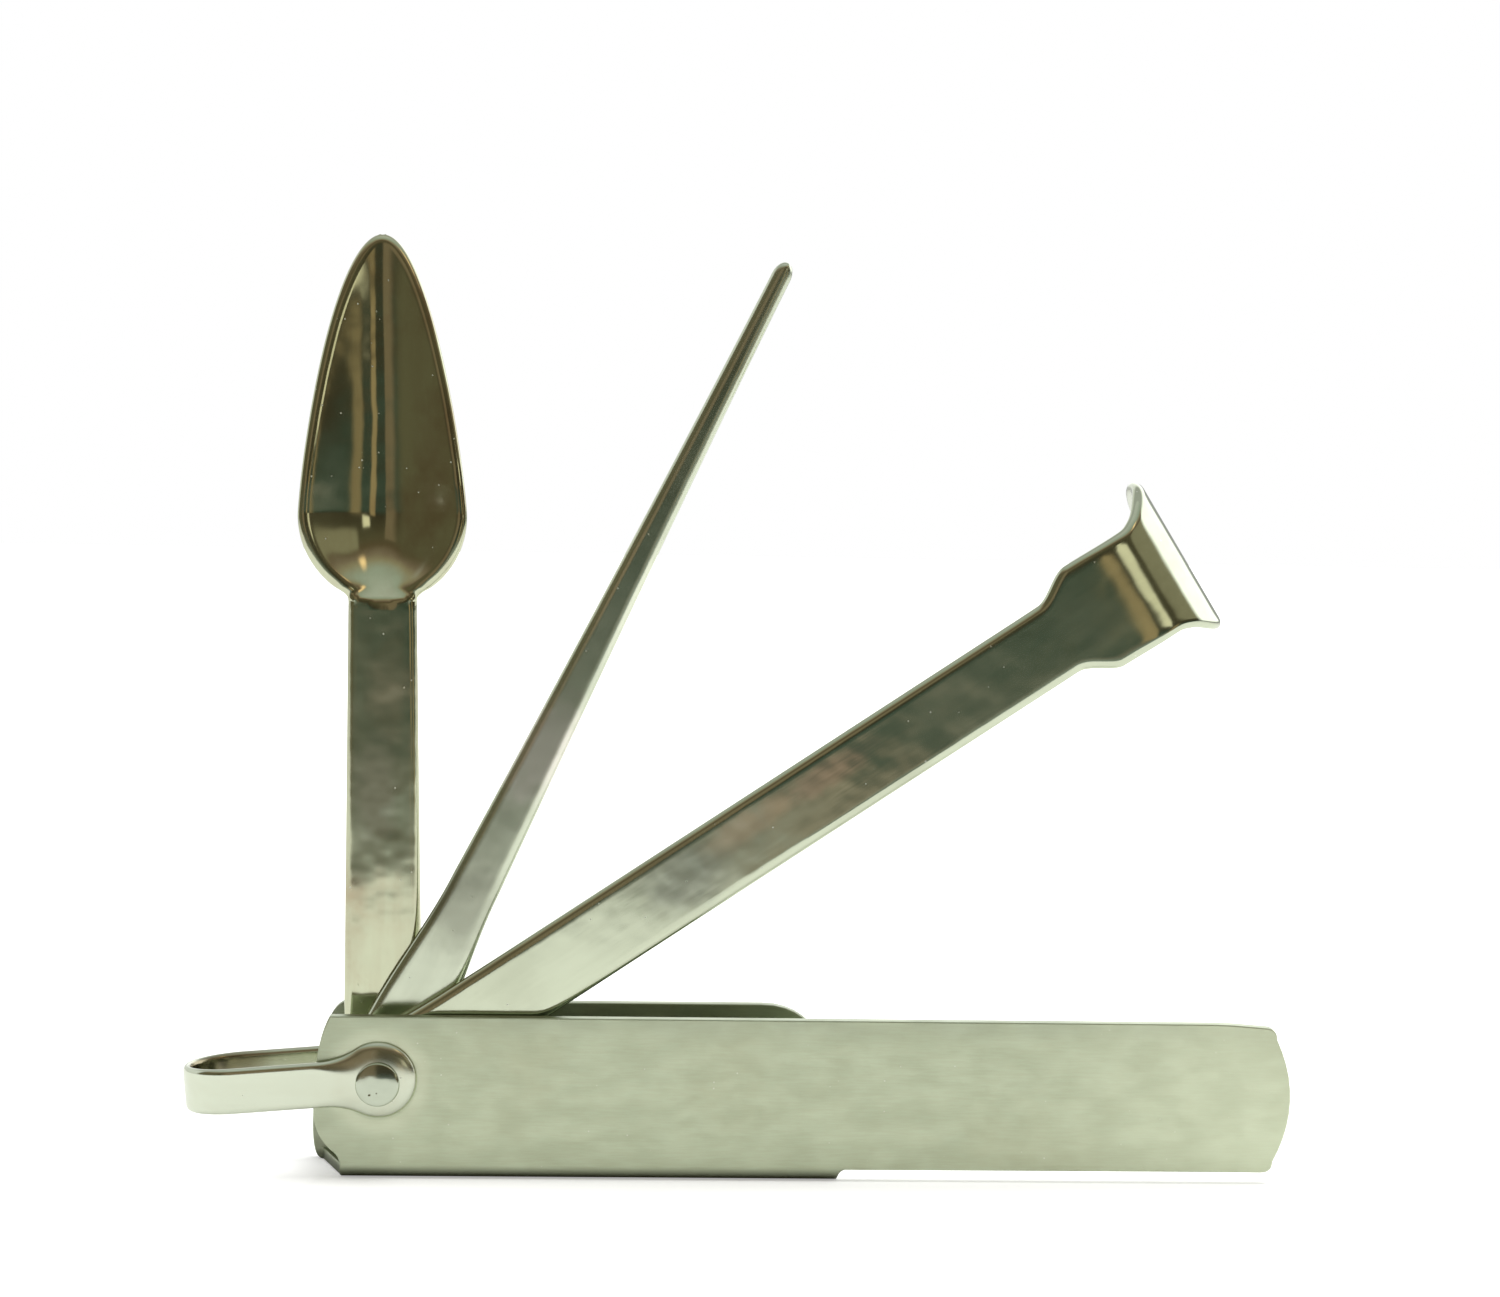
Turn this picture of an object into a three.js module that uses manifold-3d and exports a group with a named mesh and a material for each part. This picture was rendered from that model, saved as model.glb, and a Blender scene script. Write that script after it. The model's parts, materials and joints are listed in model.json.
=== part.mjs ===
import * as THREE from "three";
import { mergeVertices } from "three/addons/utils/BufferGeometryUtils.js";
import Module from "manifold-3d";

// A folding pipe tool: tamper, pick and spoon on one rivet in a folded sheet handle, with a shackle.
// X runs along the handle to its free end, Y from the front plate to the rear plate, Z up, in millimetres.
// The origin lies under the rivet, on the underside of the web that joins the two plates.

const wasm = await Module();
wasm.setup();

// Handle: one strip of sheet, folded into a narrow U that is open at the top
const sheet = 0.9;
const innerWidth = 4.4;
const bendOuter = 0.95;
const plateHeight = 12.6;
const pivotHeight = 7.55;
const frontLeft = 4.9;
const frontRight = 70.2;
const endSwell = 1.2;
const cornerRound = 0.9;
const cutBackHeight = 5.2;
const cutBackIn = 1.3;
const cutBackRise = 1.25;
const webFrontLeft = 2.9;
const webRearLeft = 4.7;
const webRight = 35.2;
const webRelief = 0.8;
const rearLeft = 5.5;
const rearCorner = 3.8;
const rearLowCorner = 2.7;

// Shackle: a bent strap whose two eyes sit outside the plates, under the rivet heads
const strapThick = 0.65;
const strapWidth = 3.5;
const eyeRadius = 2.95;
const neckLength = 5;
const loopReach = 15.1;
const loopRound = 4.2;
const shackleSkew = 0.2;
const shackleBore = 1.43;

// Rivet and the thin washers that keep the blades apart
const rivetRadius = 1.2;
const rivetHeadRadius = 1.68;
const rivetHeadHeight = 0.45;
const rivetHeadCrown = 0.12;
const boreClearance = 0.08;
const washerThick = 0.3;
const washerRadius = 2.6;
const faceGap = 0.025;

// What the three blades share
const bladeThick = 1;
const rootRadius = 2.95;
const edgeRound = 0.7;

// Tamper: a flat shank that widens, bends back and ends in a round foot
const tamperRootHalf = 3;
const tamperWaistHalf = 3;
const flareFrom = 61.2;
const flareTo = 66.4;
const flareHalf = 4.5;
const bendFrom = 68.7;
const bendRadius = 4.5;
const footRadius = 6.6;
const footSetback = 0.4;
const tamperDrop = 0.2;
const dropRun = 8;
const skewFrom = 54;
const skewTo = 64;

// Pick: a long narrow taper with a rounded point
const pickLength = 69.4;
const pickHalf = 1.93;
const pickPointHalf = 0.75;
const pickPointLength = 1.2;
const pickShoulder = 6;
const pickTaperFrom = 16.5;

// Spoon: a flat shank and a pointed bowl pressed backwards
const spoonLength = 64.2;
const spoonRootHalf = 3.05;
const spoonNeckHalf = 2.6;
const neckEnd = 37.05;
const bowlHalf = 6.4;
const bowlWidestAt = 43;
const bowlHeelRun = 6.7;
const bowlDepth = 2.7;
const hollowFrom = 36.15;
const footArcRun = 1;
const footArcHalf = 2.7;
const ridgeHalf = 6.5;
const ridgeRun = 8.53;
const ridgeWidest = 45.25;

// Angles above the handle, in degrees, as the tool stands open
const tamperAngle = 34.15;
const pickAngle = 64.36;
const spoonAngle = 90.5;
const shackleDroop = 4.8;
const footSkew = 1.8;

// Numbers without a unit
const edgeShares = [0, 0.06, 0.22, 0.55, 1];
const crownShares = [0, 0.35, 0.7, 0.9, 1];
const bowlTipPower = 1.15;
const hollowPower = 1.5;
const heelPower = 3.6;
const tipFallPower = 1.4;
const heelRollShare = 1.1;
const ridgeShare = 0.98;
const footShare = 0.8;
const pickTaperPower = 1.4;
const fusePower = 8;
const rimSteps = 40;
const curveSteps = 10;
const overrun = 1;

// Places that follow from the sizes above
const innerHalf = innerWidth / 2;
const outerHalf = innerHalf + sheet;
const cornerX = frontRight - endSwell;
const eyeInner = outerHalf + faceGap;
const eyeOuter = eyeInner + strapThick;
const layerStep = bladeThick + washerThick + 2 * faceGap;
const steel = { color: 0xb9bea0, roughness: 0.32, metalness: 1 };
const polished = { color: 0xc4c6ae, roughness: 0.16, metalness: 1 };

// A three.js geometry as a manifold-3d solid
function solidOf(geometry) {
  const bare = geometry.clone();
  bare.deleteAttribute("normal");
  bare.deleteAttribute("uv");
  const merged = mergeVertices(bare);
  const ids = merged.index.array;
  const kept = [];
  for (let i = 0; i < ids.length; i += 3) {
    const [a, b, c] = ids.slice(i, i + 3);
    if (a !== b && b !== c && c !== a) kept.push(a, b, c);
  }
  return new wasm.Manifold(
    new wasm.Mesh({
      numProp: 3,
      vertProperties: new Float32Array(merged.attributes.position.array),
      triVerts: new Uint32Array(kept),
    }),
  );
}

// A manifold-3d solid as a three.js geometry
function geometryOf(solid) {
  const mesh = solid.getMesh();
  const geometry = new THREE.BufferGeometry();
  geometry.setAttribute("position", new THREE.BufferAttribute(mesh.vertProperties, 3));
  geometry.setIndex(new THREE.BufferAttribute(mesh.triVerts, 1));
  const flat = geometry.toNonIndexed();
  flat.computeVertexNormals();
  return flat;
}

// A shape drawn in X and Z, made solid between two places along Y
function elevationSolid(shape, yFrom, yTo) {
  const geometry = new THREE.ExtrudeGeometry(shape, {
    depth: yTo - yFrom,
    bevelEnabled: false,
    curveSegments: curveSteps,
  });
  geometry.rotateX(Math.PI / 2);
  geometry.translate(0, yTo, 0);
  return solidOf(geometry);
}

// A shape drawn in X and Y, made solid between two heights
function planSolid(shape, zFrom, zTo) {
  const geometry = new THREE.ExtrudeGeometry(shape, {
    depth: zTo - zFrom,
    bevelEnabled: false,
    curveSegments: curveSteps,
  });
  geometry.translate(0, 0, zFrom);
  return solidOf(geometry);
}

// A round bar along Y through the pivot, for bores
function boreSolid(radius) {
  const length = 2 * (eyeOuter + overrun);
  return solidOf(new THREE.CylinderGeometry(radius, radius, length, rimSteps));
}

// A solid of revolution about the pivot, from points of radius and place along Y
function turned(points) {
  const profile = points.map(([radius, y]) => new THREE.Vector2(radius, y));
  return new THREE.LatheGeometry(profile, rimSteps);
}

// The outline of the front plate, with its swollen ends and the lower corner that is cut back
function frontOutline() {
  const shape = new THREE.Shape();
  const cutX = frontLeft - cutBackIn;
  const cutZ = bendOuter + cutBackRise;
  const topLeft = frontLeft - endSwell;
  shape.moveTo(-webFrontLeft, -overrun);
  shape.lineTo(webRight, -overrun);
  shape.lineTo(webRight, 0);
  shape.quadraticCurveTo(webRight, bendOuter, webRight + webRelief, bendOuter);
  shape.lineTo(cornerX - cornerRound, bendOuter);
  shape.quadraticCurveTo(cornerX, bendOuter, cornerX, bendOuter + cornerRound);
  shape.quadraticCurveTo(
    cornerX + 2 * endSwell,
    (plateHeight + bendOuter) / 2,
    cornerX,
    plateHeight - cornerRound,
  );
  shape.quadraticCurveTo(cornerX, plateHeight, cornerX - cornerRound, plateHeight);
  shape.lineTo(-topLeft, plateHeight);
  shape.quadraticCurveTo(-frontLeft, pivotHeight + eyeRadius, -frontLeft, cutBackHeight);
  shape.quadraticCurveTo(-frontLeft, cutZ + cutBackRise, -cutX, cutZ);
  shape.quadraticCurveTo(-webFrontLeft, cutZ - cornerRound / 2, -webFrontLeft, bendOuter);
  shape.closePath();
  return shape;
}

// The outline of the short rear plate, with its rounded upper corners
function rearOutline() {
  const shape = new THREE.Shape();
  const sideLeft = rearLeft - endSwell / 2;
  shape.moveTo(-webRearLeft, -overrun);
  shape.lineTo(webRight, -overrun);
  shape.lineTo(webRight, plateHeight / 2);
  shape.quadraticCurveTo(webRight, plateHeight, webRight - rearCorner - endSwell, plateHeight);
  shape.lineTo(rearCorner - rearLeft - cornerRound, plateHeight);
  shape.quadraticCurveTo(-sideLeft + endSwell / 2, plateHeight, -sideLeft, plateHeight - rearCorner);
  shape.quadraticCurveTo(-rearLeft, plateHeight / 2, -rearLeft, rearLowCorner);
  shape.quadraticCurveTo(-rearLeft, 0, -webRearLeft, 0);
  shape.closePath();
  return shape;
}

// The U of the handle across X, with its rounded outer bends
function channelSection() {
  const shape = new THREE.Shape();
  shape.moveTo(-outerHalf, plateHeight + overrun);
  shape.lineTo(-outerHalf, bendOuter);
  shape.absarc(bendOuter - outerHalf, bendOuter, bendOuter, Math.PI, 1.5 * Math.PI, false);
  shape.absarc(outerHalf - bendOuter, bendOuter, bendOuter, 1.5 * Math.PI, 2 * Math.PI, false);
  shape.lineTo(outerHalf, plateHeight + overrun);
  shape.lineTo(innerHalf, plateHeight + overrun);
  shape.lineTo(innerHalf, sheet);
  shape.lineTo(-innerHalf, sheet);
  shape.lineTo(-innerHalf, plateHeight + overrun);
  shape.closePath();
  return shape;
}

// The web seen from above: its left end runs slanting from the front plate to the rear plate
function webOutline() {
  const shape = new THREE.Shape();
  shape.moveTo(-webFrontLeft, -innerHalf);
  shape.lineTo(-webFrontLeft, -innerHalf - sheet / 2);
  shape.lineTo(webRight, -innerHalf - sheet / 2);
  shape.lineTo(webRight, innerHalf + sheet / 2);
  shape.lineTo(-webRearLeft, innerHalf + sheet / 2);
  shape.lineTo(-webRearLeft, innerHalf);
  shape.closePath();
  return shape;
}

// The handle: the U cut to the outlines of its two plates and its web, and bored for the rivet
function handleSolid() {
  const length = frontRight + rearLeft + 2 * overrun;
  const channel = new THREE.ExtrudeGeometry(channelSection(), {
    depth: length,
    bevelEnabled: false,
    curveSegments: curveSteps,
  });
  channel.rotateX(Math.PI / 2);
  channel.rotateZ(Math.PI / 2);
  channel.translate(-rearLeft - overrun, 0, 0);
  const front = elevationSolid(frontOutline(), -outerHalf - overrun, -innerHalf);
  const rear = elevationSolid(rearOutline(), innerHalf, outerHalf + overrun);
  const web = planSolid(webOutline(), -overrun, sheet);
  const bore = boreSolid(rivetRadius + boreClearance).translate([0, 0, pivotHeight]);
  return solidOf(channel).intersect(front.add(rear).add(web)).subtract(bore);
}

// The strap of the shackle seen from above, bent round like half an ellipse
function loopOutline() {
  const shape = new THREE.Shape();
  const turn = loopReach - loopRound;
  const inner = loopRound - strapThick;
  shape.moveTo(eyeRadius, -eyeOuter);
  shape.lineTo(eyeRadius, -eyeInner);
  shape.lineTo(-turn, -eyeInner);
  shape.absellipse(-turn, 0, inner, eyeInner, 1.5 * Math.PI, Math.PI / 2, true, 0);
  shape.lineTo(eyeRadius, eyeInner);
  shape.lineTo(eyeRadius, eyeOuter);
  shape.lineTo(-turn, eyeOuter);
  shape.absellipse(-turn, 0, loopRound, eyeOuter, Math.PI / 2, 1.5 * Math.PI, false, 0);
  shape.closePath();
  return shape;
}

// The strap seen from the front: a round eye, two hollow necks and a parallel band
function strapOutline() {
  const shape = new THREE.Shape();
  const half = strapWidth / 2;
  const leave = (Math.PI * 2) / 3;
  const leaveX = eyeRadius * Math.cos(leave);
  const leaveZ = eyeRadius * Math.sin(leave);
  const meet = leaveX - (leaveZ - half) * Math.tan(leave - Math.PI / 2 + Math.PI / 12);
  shape.absarc(0, 0, eyeRadius, -leave, leave, false);
  shape.quadraticCurveTo(meet - half / 2, half, -neckLength, half);
  shape.lineTo(-loopReach - overrun, half);
  shape.lineTo(-loopReach - overrun, -half);
  shape.lineTo(-neckLength, -half);
  shape.quadraticCurveTo(meet - half / 2, -half, leaveX, -leaveZ);
  shape.closePath();
  return shape;
}

// The shackle: the bent strap cut to its front outline, bored, and bent a little out of square
function shackleSolid() {
  const loop = planSolid(loopOutline(), -eyeRadius, eyeRadius);
  const face = elevationSolid(strapOutline(), -eyeOuter - overrun, eyeOuter + overrun);
  const bent = geometryOf(loop.intersect(face).subtract(boreSolid(shackleBore)));
  const skew = new THREE.Matrix4().makeShear(0, 0, 0, -shackleSkew / eyeOuter, 0, 0);
  bent.applyMatrix4(skew);
  return solidOf(bent);
}

// The rivet: a plain shank with a low crowned head at each end
function rivetGeometry() {
  const under = eyeOuter + faceGap;
  const rim = under + rivetHeadHeight - rivetHeadCrown;
  const side = (share) => [
    rivetHeadRadius * share,
    rim + rivetHeadCrown * Math.sqrt(1 - share * share),
  ];
  const top = crownShares.map(side);
  const half = [[rivetRadius, under], [rivetHeadRadius, under], ...top.reverse()];
  const below = half.map(([radius, y]) => [radius, -y]).reverse();
  return turned([...below, ...half]);
}

// A flat washer centred on the pivot
function washerGeometry() {
  const hole = rivetRadius + boreClearance;
  const half = washerThick / 2;
  return turned([
    [hole, -half],
    [washerRadius, -half],
    [washerRadius, half],
    [hole, half],
    [hole, -half],
  ]);
}

// A smooth rise from 0 to 1 between two places
function easeBetween(from, to, at) {
  return THREE.MathUtils.smoothstep(at, from, to);
}

// The larger of some widths, with the corner between them filled
function fused(...widths) {
  const largest = Math.max(...widths);
  const sum = widths.reduce((all, width) => all + (Math.max(width, 0) / largest) ** fusePower, 0);
  return largest * sum ** (1 / fusePower);
}

// Half of a chord across a circle or an ellipse, at a distance from its centre
function chord(half, run, distance) {
  return half * Math.sqrt(Math.max(0, 1 - (distance / run) ** 2));
}

// Places along a blade, close together at both ends and even between the steps named
function stationsThrough(places, counts) {
  const stations = [];
  counts.forEach((count, k) => {
    for (let i = 0; i < count; i += 1) {
      const even = i / count;
      const last = k === counts.length - 1;
      let share = even;
      if (k === 0) share = 1 - Math.cos((even * Math.PI) / 2);
      if (last) share = Math.sin((even * Math.PI) / 2);
      stations.push(THREE.MathUtils.lerp(places[k], places[k + 1], share));
    }
  });
  stations.push(places[places.length - 1]);
  return stations;
}

// How far a point of a blade lies inside the blade's outline
function depthInside(outline, u, v) {
  const point = new THREE.Vector3(u, Math.abs(v), 0);
  const nearest = new THREE.Vector3();
  let least = Infinity;
  for (let i = 1; i < outline.length; i += 1) {
    const line = new THREE.Line3(outline[i - 1], outline[i]);
    line.closestPointToPoint(point, true, nearest);
    least = Math.min(least, nearest.distanceTo(point));
  }
  return least;
}

// The places across a blade at one station: close together at the rim, even between
function acrossAt(half, innerCount) {
  const band = Math.min(edgeRound, half);
  const rim = edgeShares.map((share) => half - band * share);
  const inner = [];
  for (let i = 1; i <= innerCount; i += 1) {
    inner.push((half - band) * (1 - (2 * i) / (innerCount + 1)));
  }
  const mirrored = rim.map((place) => -place).reverse();
  return [...rim, ...inner, ...mirrored];
}

// A blade as a closed skin about its middle surface, with a rounded rim, bored for the rivet
function bladeSolid(stations, halfAt, innerCount, formAt) {
  const outline = stations.map((u) => new THREE.Vector3(u, halfAt(u), 0));
  const positions = [];
  const index = [];
  stations.forEach((u) => {
    acrossAt(halfAt(u), innerCount).forEach((v) => {
      const inside = Math.min(1, depthInside(outline, u, v) / edgeRound);
      const half = (bladeThick / 2) * Math.sqrt(1 - (1 - inside) ** 2);
      const { at, normal } = formAt(u, v);
      positions.push(...at.clone().addScaledVector(normal, -half).toArray());
      positions.push(...at.clone().addScaledVector(normal, half).toArray());
    });
  });
  const across = positions.length / 6 / stations.length;
  for (let i = 0; i < stations.length - 1; i += 1) {
    for (let j = 0; j < across - 1; j += 1) {
      const a = 2 * (i * across + j);
      const b = a + 2;
      const c = a + 2 * across;
      const d = c + 2;
      index.push(a, b, d, a, d, c);
      index.push(a + 1, d + 1, b + 1, a + 1, c + 1, d + 1);
    }
  }
  const geometry = new THREE.BufferGeometry();
  geometry.setAttribute("position", new THREE.Float32BufferAttribute(positions, 3));
  geometry.setIndex(index);
  return solidOf(geometry).subtract(boreSolid(rivetRadius + boreClearance));
}

// A point of a flat blade
function flatForm(u, v) {
  return { at: new THREE.Vector3(u, 0, v), normal: new THREE.Vector3(0, 1, 0) };
}

// Where the tamper's developed length ends, at the far rim of its foot
const footCentre = bendFrom + (bendRadius * Math.PI) / 2 + footSetback;
const tamperLength = footCentre + footRadius;

// Half the width of the tamper along its developed length
function tamperHalf(s) {
  if (s < 0) return chord(rootRadius, rootRadius, s);
  if (s > footCentre) return chord(footRadius, footRadius, s - footCentre);
  const fade = 1 - easeBetween(footCentre - footShare * footRadius, footCentre, s);
  const shank = THREE.MathUtils.lerp(tamperRootHalf, tamperWaistHalf, s / flareFrom);
  const flare = THREE.MathUtils.lerp(shank, flareHalf, easeBetween(flareFrom, flareTo, s));
  const root = rootRadius + (flare - rootRadius) * easeBetween(0, rootRadius, s);
  return fused(root * fade, chord(footRadius, footRadius, s - footCentre));
}

// A point of the tamper: flat, then round the bend, then along the foot
function tamperForm(s, v) {
  const turn = Math.min(Math.max(0, s - bendFrom) / bendRadius, Math.PI / 2);
  const beyond = Math.max(0, s - bendFrom - (bendRadius * Math.PI) / 2);
  const at = new THREE.Vector3(
    Math.min(s, bendFrom) + bendRadius * Math.sin(turn),
    bendRadius * (1 - Math.cos(turn)) + beyond,
    v - tamperDrop * easeBetween(0, dropRun, s),
  );
  const normal = new THREE.Vector3(-Math.sin(turn), Math.cos(turn), 0);
  const hinge = new THREE.Vector3((skewFrom + skewTo) / 2, 0, 0);
  const lean = THREE.MathUtils.degToRad(footSkew) * easeBetween(skewFrom, skewTo, s);
  const up = new THREE.Vector3(0, 1, 0);
  at.sub(hinge).applyAxisAngle(up, lean).add(hinge);
  normal.applyAxisAngle(up, lean);
  return { at, normal };
}

function tamperSolid() {
  const bendEnd = bendFrom + (bendRadius * Math.PI) / 2;
  const places = [-rootRadius, 0, rootRadius, skewFrom, flareFrom, flareTo, bendFrom, bendEnd, tamperLength];
  const counts = [6, 2, 4, 3, 8, 3, 10, 13];
  return bladeSolid(stationsThrough(places, counts), tamperHalf, 3, tamperForm);
}

// Half the width of the pick along its length
function pickHalfAt(u) {
  if (u < 0) return chord(rootRadius, rootRadius, u);
  const pointFrom = pickLength - pickPointLength;
  if (u > pointFrom) return chord(pickPointHalf, pickPointLength, u - pointFrom);
  const run = Math.max(0, u - pickTaperFrom) / (pointFrom - pickTaperFrom);
  const taper = pickPointHalf + (pickHalf - pickPointHalf) * (1 - run) ** pickTaperPower;
  return THREE.MathUtils.lerp(rootRadius, taper, easeBetween(pickShoulder / 2, pickTaperFrom, u));
}

function pickSolid() {
  const places = [-rootRadius, 0, pickShoulder / 2, pickTaperFrom, pickLength - pickPointLength, pickLength];
  const counts = [6, 1, 7, 7, 6];
  return bladeSolid(stationsThrough(places, counts), pickHalfAt, 1, flatForm);
}

// Half the width of the spoon along its length
function spoonHalf(u) {
  if (u < 0) return chord(rootRadius, rootRadius, u);
  if (u > bowlWidestAt) {
    const run = (u - bowlWidestAt) / (spoonLength - bowlWidestAt);
    return bowlHalf * Math.sqrt(Math.max(0, 1 - run ** bowlTipPower));
  }
  const shank = THREE.MathUtils.lerp(spoonRootHalf, spoonNeckHalf, u / neckEnd);
  const root = rootRadius + (shank - rootRadius) * easeBetween(0, rootRadius, u);
  return fused(root, chord(bowlHalf, bowlHeelRun, bowlWidestAt - u));
}

// How far the edge of the hollow lies from the middle: an arc across the shank, then out to the rim
function spoonRidge(u) {
  const toArc = THREE.MathUtils.clamp(hollowFrom + footArcRun - u, 0, footArcRun);
  const arc = chord(footArcHalf, footArcRun, toArc);
  const flank = chord(ridgeHalf, ridgeRun, Math.max(ridgeWidest - u, 0));
  return Math.min(fused(arc, flank), ridgeShare * spoonHalf(u));
}

// How far back the spoon's sheet lies: its floor stays level to the point, so the rim leans back
function spoonSink(u, v) {
  if (u <= hollowFrom) return 0;
  const ridge = Math.max(spoonRidge(u), edgeRound / 100);
  const outside = Math.max(Math.abs(v) - ridge, 0);
  const rise = Math.min((u - hollowFrom) / (ridgeWidest - hollowFrom), 1);
  const run = THREE.MathUtils.clamp((u - ridgeWidest) / (spoonLength - ridgeWidest), 0, 1);
  const floor = bowlDepth * (1 - (1 - rise) ** 2);
  const depth = floor * (1 - run ** tipFallPower);
  const power = THREE.MathUtils.lerp(heelPower, 2, easeBetween(hollowFrom, bowlWidestAt, u));
  const hollow = depth * (1 - Math.min(Math.abs(v) / ridge, 1) ** power) ** hollowPower;
  const roll = (heelRollShare * outside ** 2) / edgeRound / 2;
  return hollow + floor - depth + roll * easeBetween(hollowFrom, neckEnd, u);
}

// A point of the spoon, with the direction straight through its sheet
function spoonForm(u, v) {
  const small = edgeRound / 10;
  const slopeU = (spoonSink(u + small, v) - spoonSink(u - small, v)) / (2 * small);
  const slopeV = (spoonSink(u, v + small) - spoonSink(u, v - small)) / (2 * small);
  return {
    at: new THREE.Vector3(u, spoonSink(u, v), v),
    normal: new THREE.Vector3(-slopeU, 1, -slopeV).normalize(),
  };
}

function spoonSolid() {
  const footEnd = hollowFrom + footArcRun;
  const bowlMiddle = bowlWidestAt + bowlHeelRun;
  const places = [-rootRadius, 0, rootRadius, hollowFrom, footEnd, bowlWidestAt, bowlMiddle, spoonLength];
  const counts = [6, 2, 3, 3, 10, 4, 14];
  return bladeSolid(stationsThrough(places, counts), spoonHalf, 9, spoonForm);
}

const tool = new THREE.Group();

// Each piece is one named mesh, turned about the pivot by its angle and set at its place along Y
function addPiece(name, geometry, look, y, angle) {
  const mesh = new THREE.Mesh(geometry, new THREE.MeshStandardMaterial(look));
  mesh.name = name;
  mesh.position.set(0, y, pivotHeight);
  mesh.rotation.y = -THREE.MathUtils.degToRad(angle);
  tool.add(mesh);
}

const handle = geometryOf(handleSolid());
handle.translate(0, 0, -pivotHeight);
addPiece("handle", handle, steel, 0, 0);
addPiece("tamper", geometryOf(tamperSolid()), polished, -layerStep, tamperAngle);
addPiece("pick", geometryOf(pickSolid()), polished, 0, pickAngle);
addPiece("spoon", geometryOf(spoonSolid()), polished, layerStep, spoonAngle);
addPiece("shackle", geometryOf(shackleSolid()), polished, 0, shackleDroop);
addPiece("rivet", rivetGeometry(), polished, 0, 0);

const washerNames = ["front_washer", "tamper_pick_washer", "pick_spoon_washer", "rear_washer"];
washerNames.forEach((name, i) => {
  addPiece(name, washerGeometry(), steel, (i - 1.5) * layerStep, 0);
});

export default tool;
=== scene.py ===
# %% [markdown]
# # A folding pipe tool, dressed in Blender
#
# The real object is a pocket tool: a tamper, a pick and a small spoon turn on one rivet in a
# handle folded from sheet, and a strap shackle takes a key ring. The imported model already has
# every piece in its place, so it is loaded first and stays the measure of all that follows.

import json
import math

import bmesh
import bpy
import numpy as np
from mathutils import Matrix, Vector


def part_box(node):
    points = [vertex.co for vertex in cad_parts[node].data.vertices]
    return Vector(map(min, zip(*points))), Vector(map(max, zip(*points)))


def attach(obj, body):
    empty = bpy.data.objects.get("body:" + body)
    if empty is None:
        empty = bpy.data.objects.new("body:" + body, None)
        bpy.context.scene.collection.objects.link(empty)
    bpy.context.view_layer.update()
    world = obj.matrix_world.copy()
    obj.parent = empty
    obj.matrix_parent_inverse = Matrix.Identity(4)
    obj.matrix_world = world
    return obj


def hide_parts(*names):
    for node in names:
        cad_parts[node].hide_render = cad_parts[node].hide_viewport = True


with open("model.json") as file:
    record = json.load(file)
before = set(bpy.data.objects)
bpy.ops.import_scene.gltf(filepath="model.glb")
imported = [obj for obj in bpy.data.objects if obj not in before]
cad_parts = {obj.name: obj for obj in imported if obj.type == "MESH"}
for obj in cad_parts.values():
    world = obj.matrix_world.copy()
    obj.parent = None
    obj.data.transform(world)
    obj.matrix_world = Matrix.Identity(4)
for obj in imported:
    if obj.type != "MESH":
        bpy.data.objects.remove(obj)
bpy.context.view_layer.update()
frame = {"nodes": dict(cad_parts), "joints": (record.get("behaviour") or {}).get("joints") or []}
MM = 0.001
pivot = Vector(frame["joints"][0]["pos_m"]) / MM

# %% [markdown]
# ## The camera
#
# The photograph was taken from in front, a little above the tool, from about 21 cm away. The
# place, the turn and the focal length were worked out from the corners of the handle, with the
# lens taken as a plain pinhole. A camera looks down its own -Z, so its turn is built from the
# direction it faces and then rolled about that direction.

# %% Set the camera up
def new_object(name, data):
    """An object for a mesh, a lamp or a camera, put in the scene."""
    piece = bpy.data.objects.new(name, data)
    bpy.context.scene.collection.objects.link(piece)
    return piece


camera_at = Vector((0.01729, -0.21035, 0.06219))
camera_yaw, camera_pitch, camera_roll = (math.radians(a) for a in (2.850, 5.790, 1.216))
facing = Vector(
    (
        math.sin(camera_yaw) * math.cos(camera_pitch),
        math.cos(camera_yaw) * math.cos(camera_pitch),
        -math.sin(camera_pitch),
    )
)
camera_data = bpy.data.cameras.new("camera")
camera_data.sensor_width = 36
camera_data.lens = 66.446
camera_data.clip_start = 0.01
camera = new_object("camera", camera_data)
camera_turn = facing.to_track_quat("-Z", "Y").to_matrix() @ Matrix.Rotation(camera_roll, 3, "Z")
camera.matrix_world = Matrix.Translation(camera_at) @ camera_turn.to_4x4()
bpy.context.scene.camera = camera
bpy.context.scene.view_settings.view_transform = "Standard"
print("camera at", tuple(camera_at), "lens", camera_data.lens)

# %% [markdown]
# ## From arrays to a closed piece
#
# Every new piece is one grid of points that numpy works out as a whole. Where the ends of the
# grid shrink to a point or a line, its points fall on each other, so they are merged after the
# faces are made. That closes the skin, and only then can Blender tell outside from inside.

# %% Helpers for meshes
merge_within = 1e-7
sharp_degrees = 40


def grid_faces(rows, columns, closed_rows=False):
    """Corner numbers of the quads of a grid whose columns run round and meet."""
    i, j = np.meshgrid(np.arange(rows if closed_rows else rows - 1), np.arange(columns), indexing="ij")
    below, beside = (i + 1) % rows, (j + 1) % columns
    corners = (i * columns + j, i * columns + beside, below * columns + beside, below * columns + j)
    return np.stack(corners, axis=-1).reshape(-1, 4)


def close_and_face(mesh):
    """Merge points that fall on each other and turn every face outwards."""
    work = bmesh.new()
    work.from_mesh(mesh)
    bmesh.ops.remove_doubles(work, verts=work.verts, dist=merge_within)
    bmesh.ops.recalc_face_normals(work, faces=work.faces)
    work.to_mesh(mesh)
    work.free()


def smooth(piece):
    """Shade a piece smooth, but for edges that turn by more than sharp_degrees."""
    piece.data.shade_smooth()
    piece.data.set_sharp_from_angle(angle=math.radians(sharp_degrees))


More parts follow.
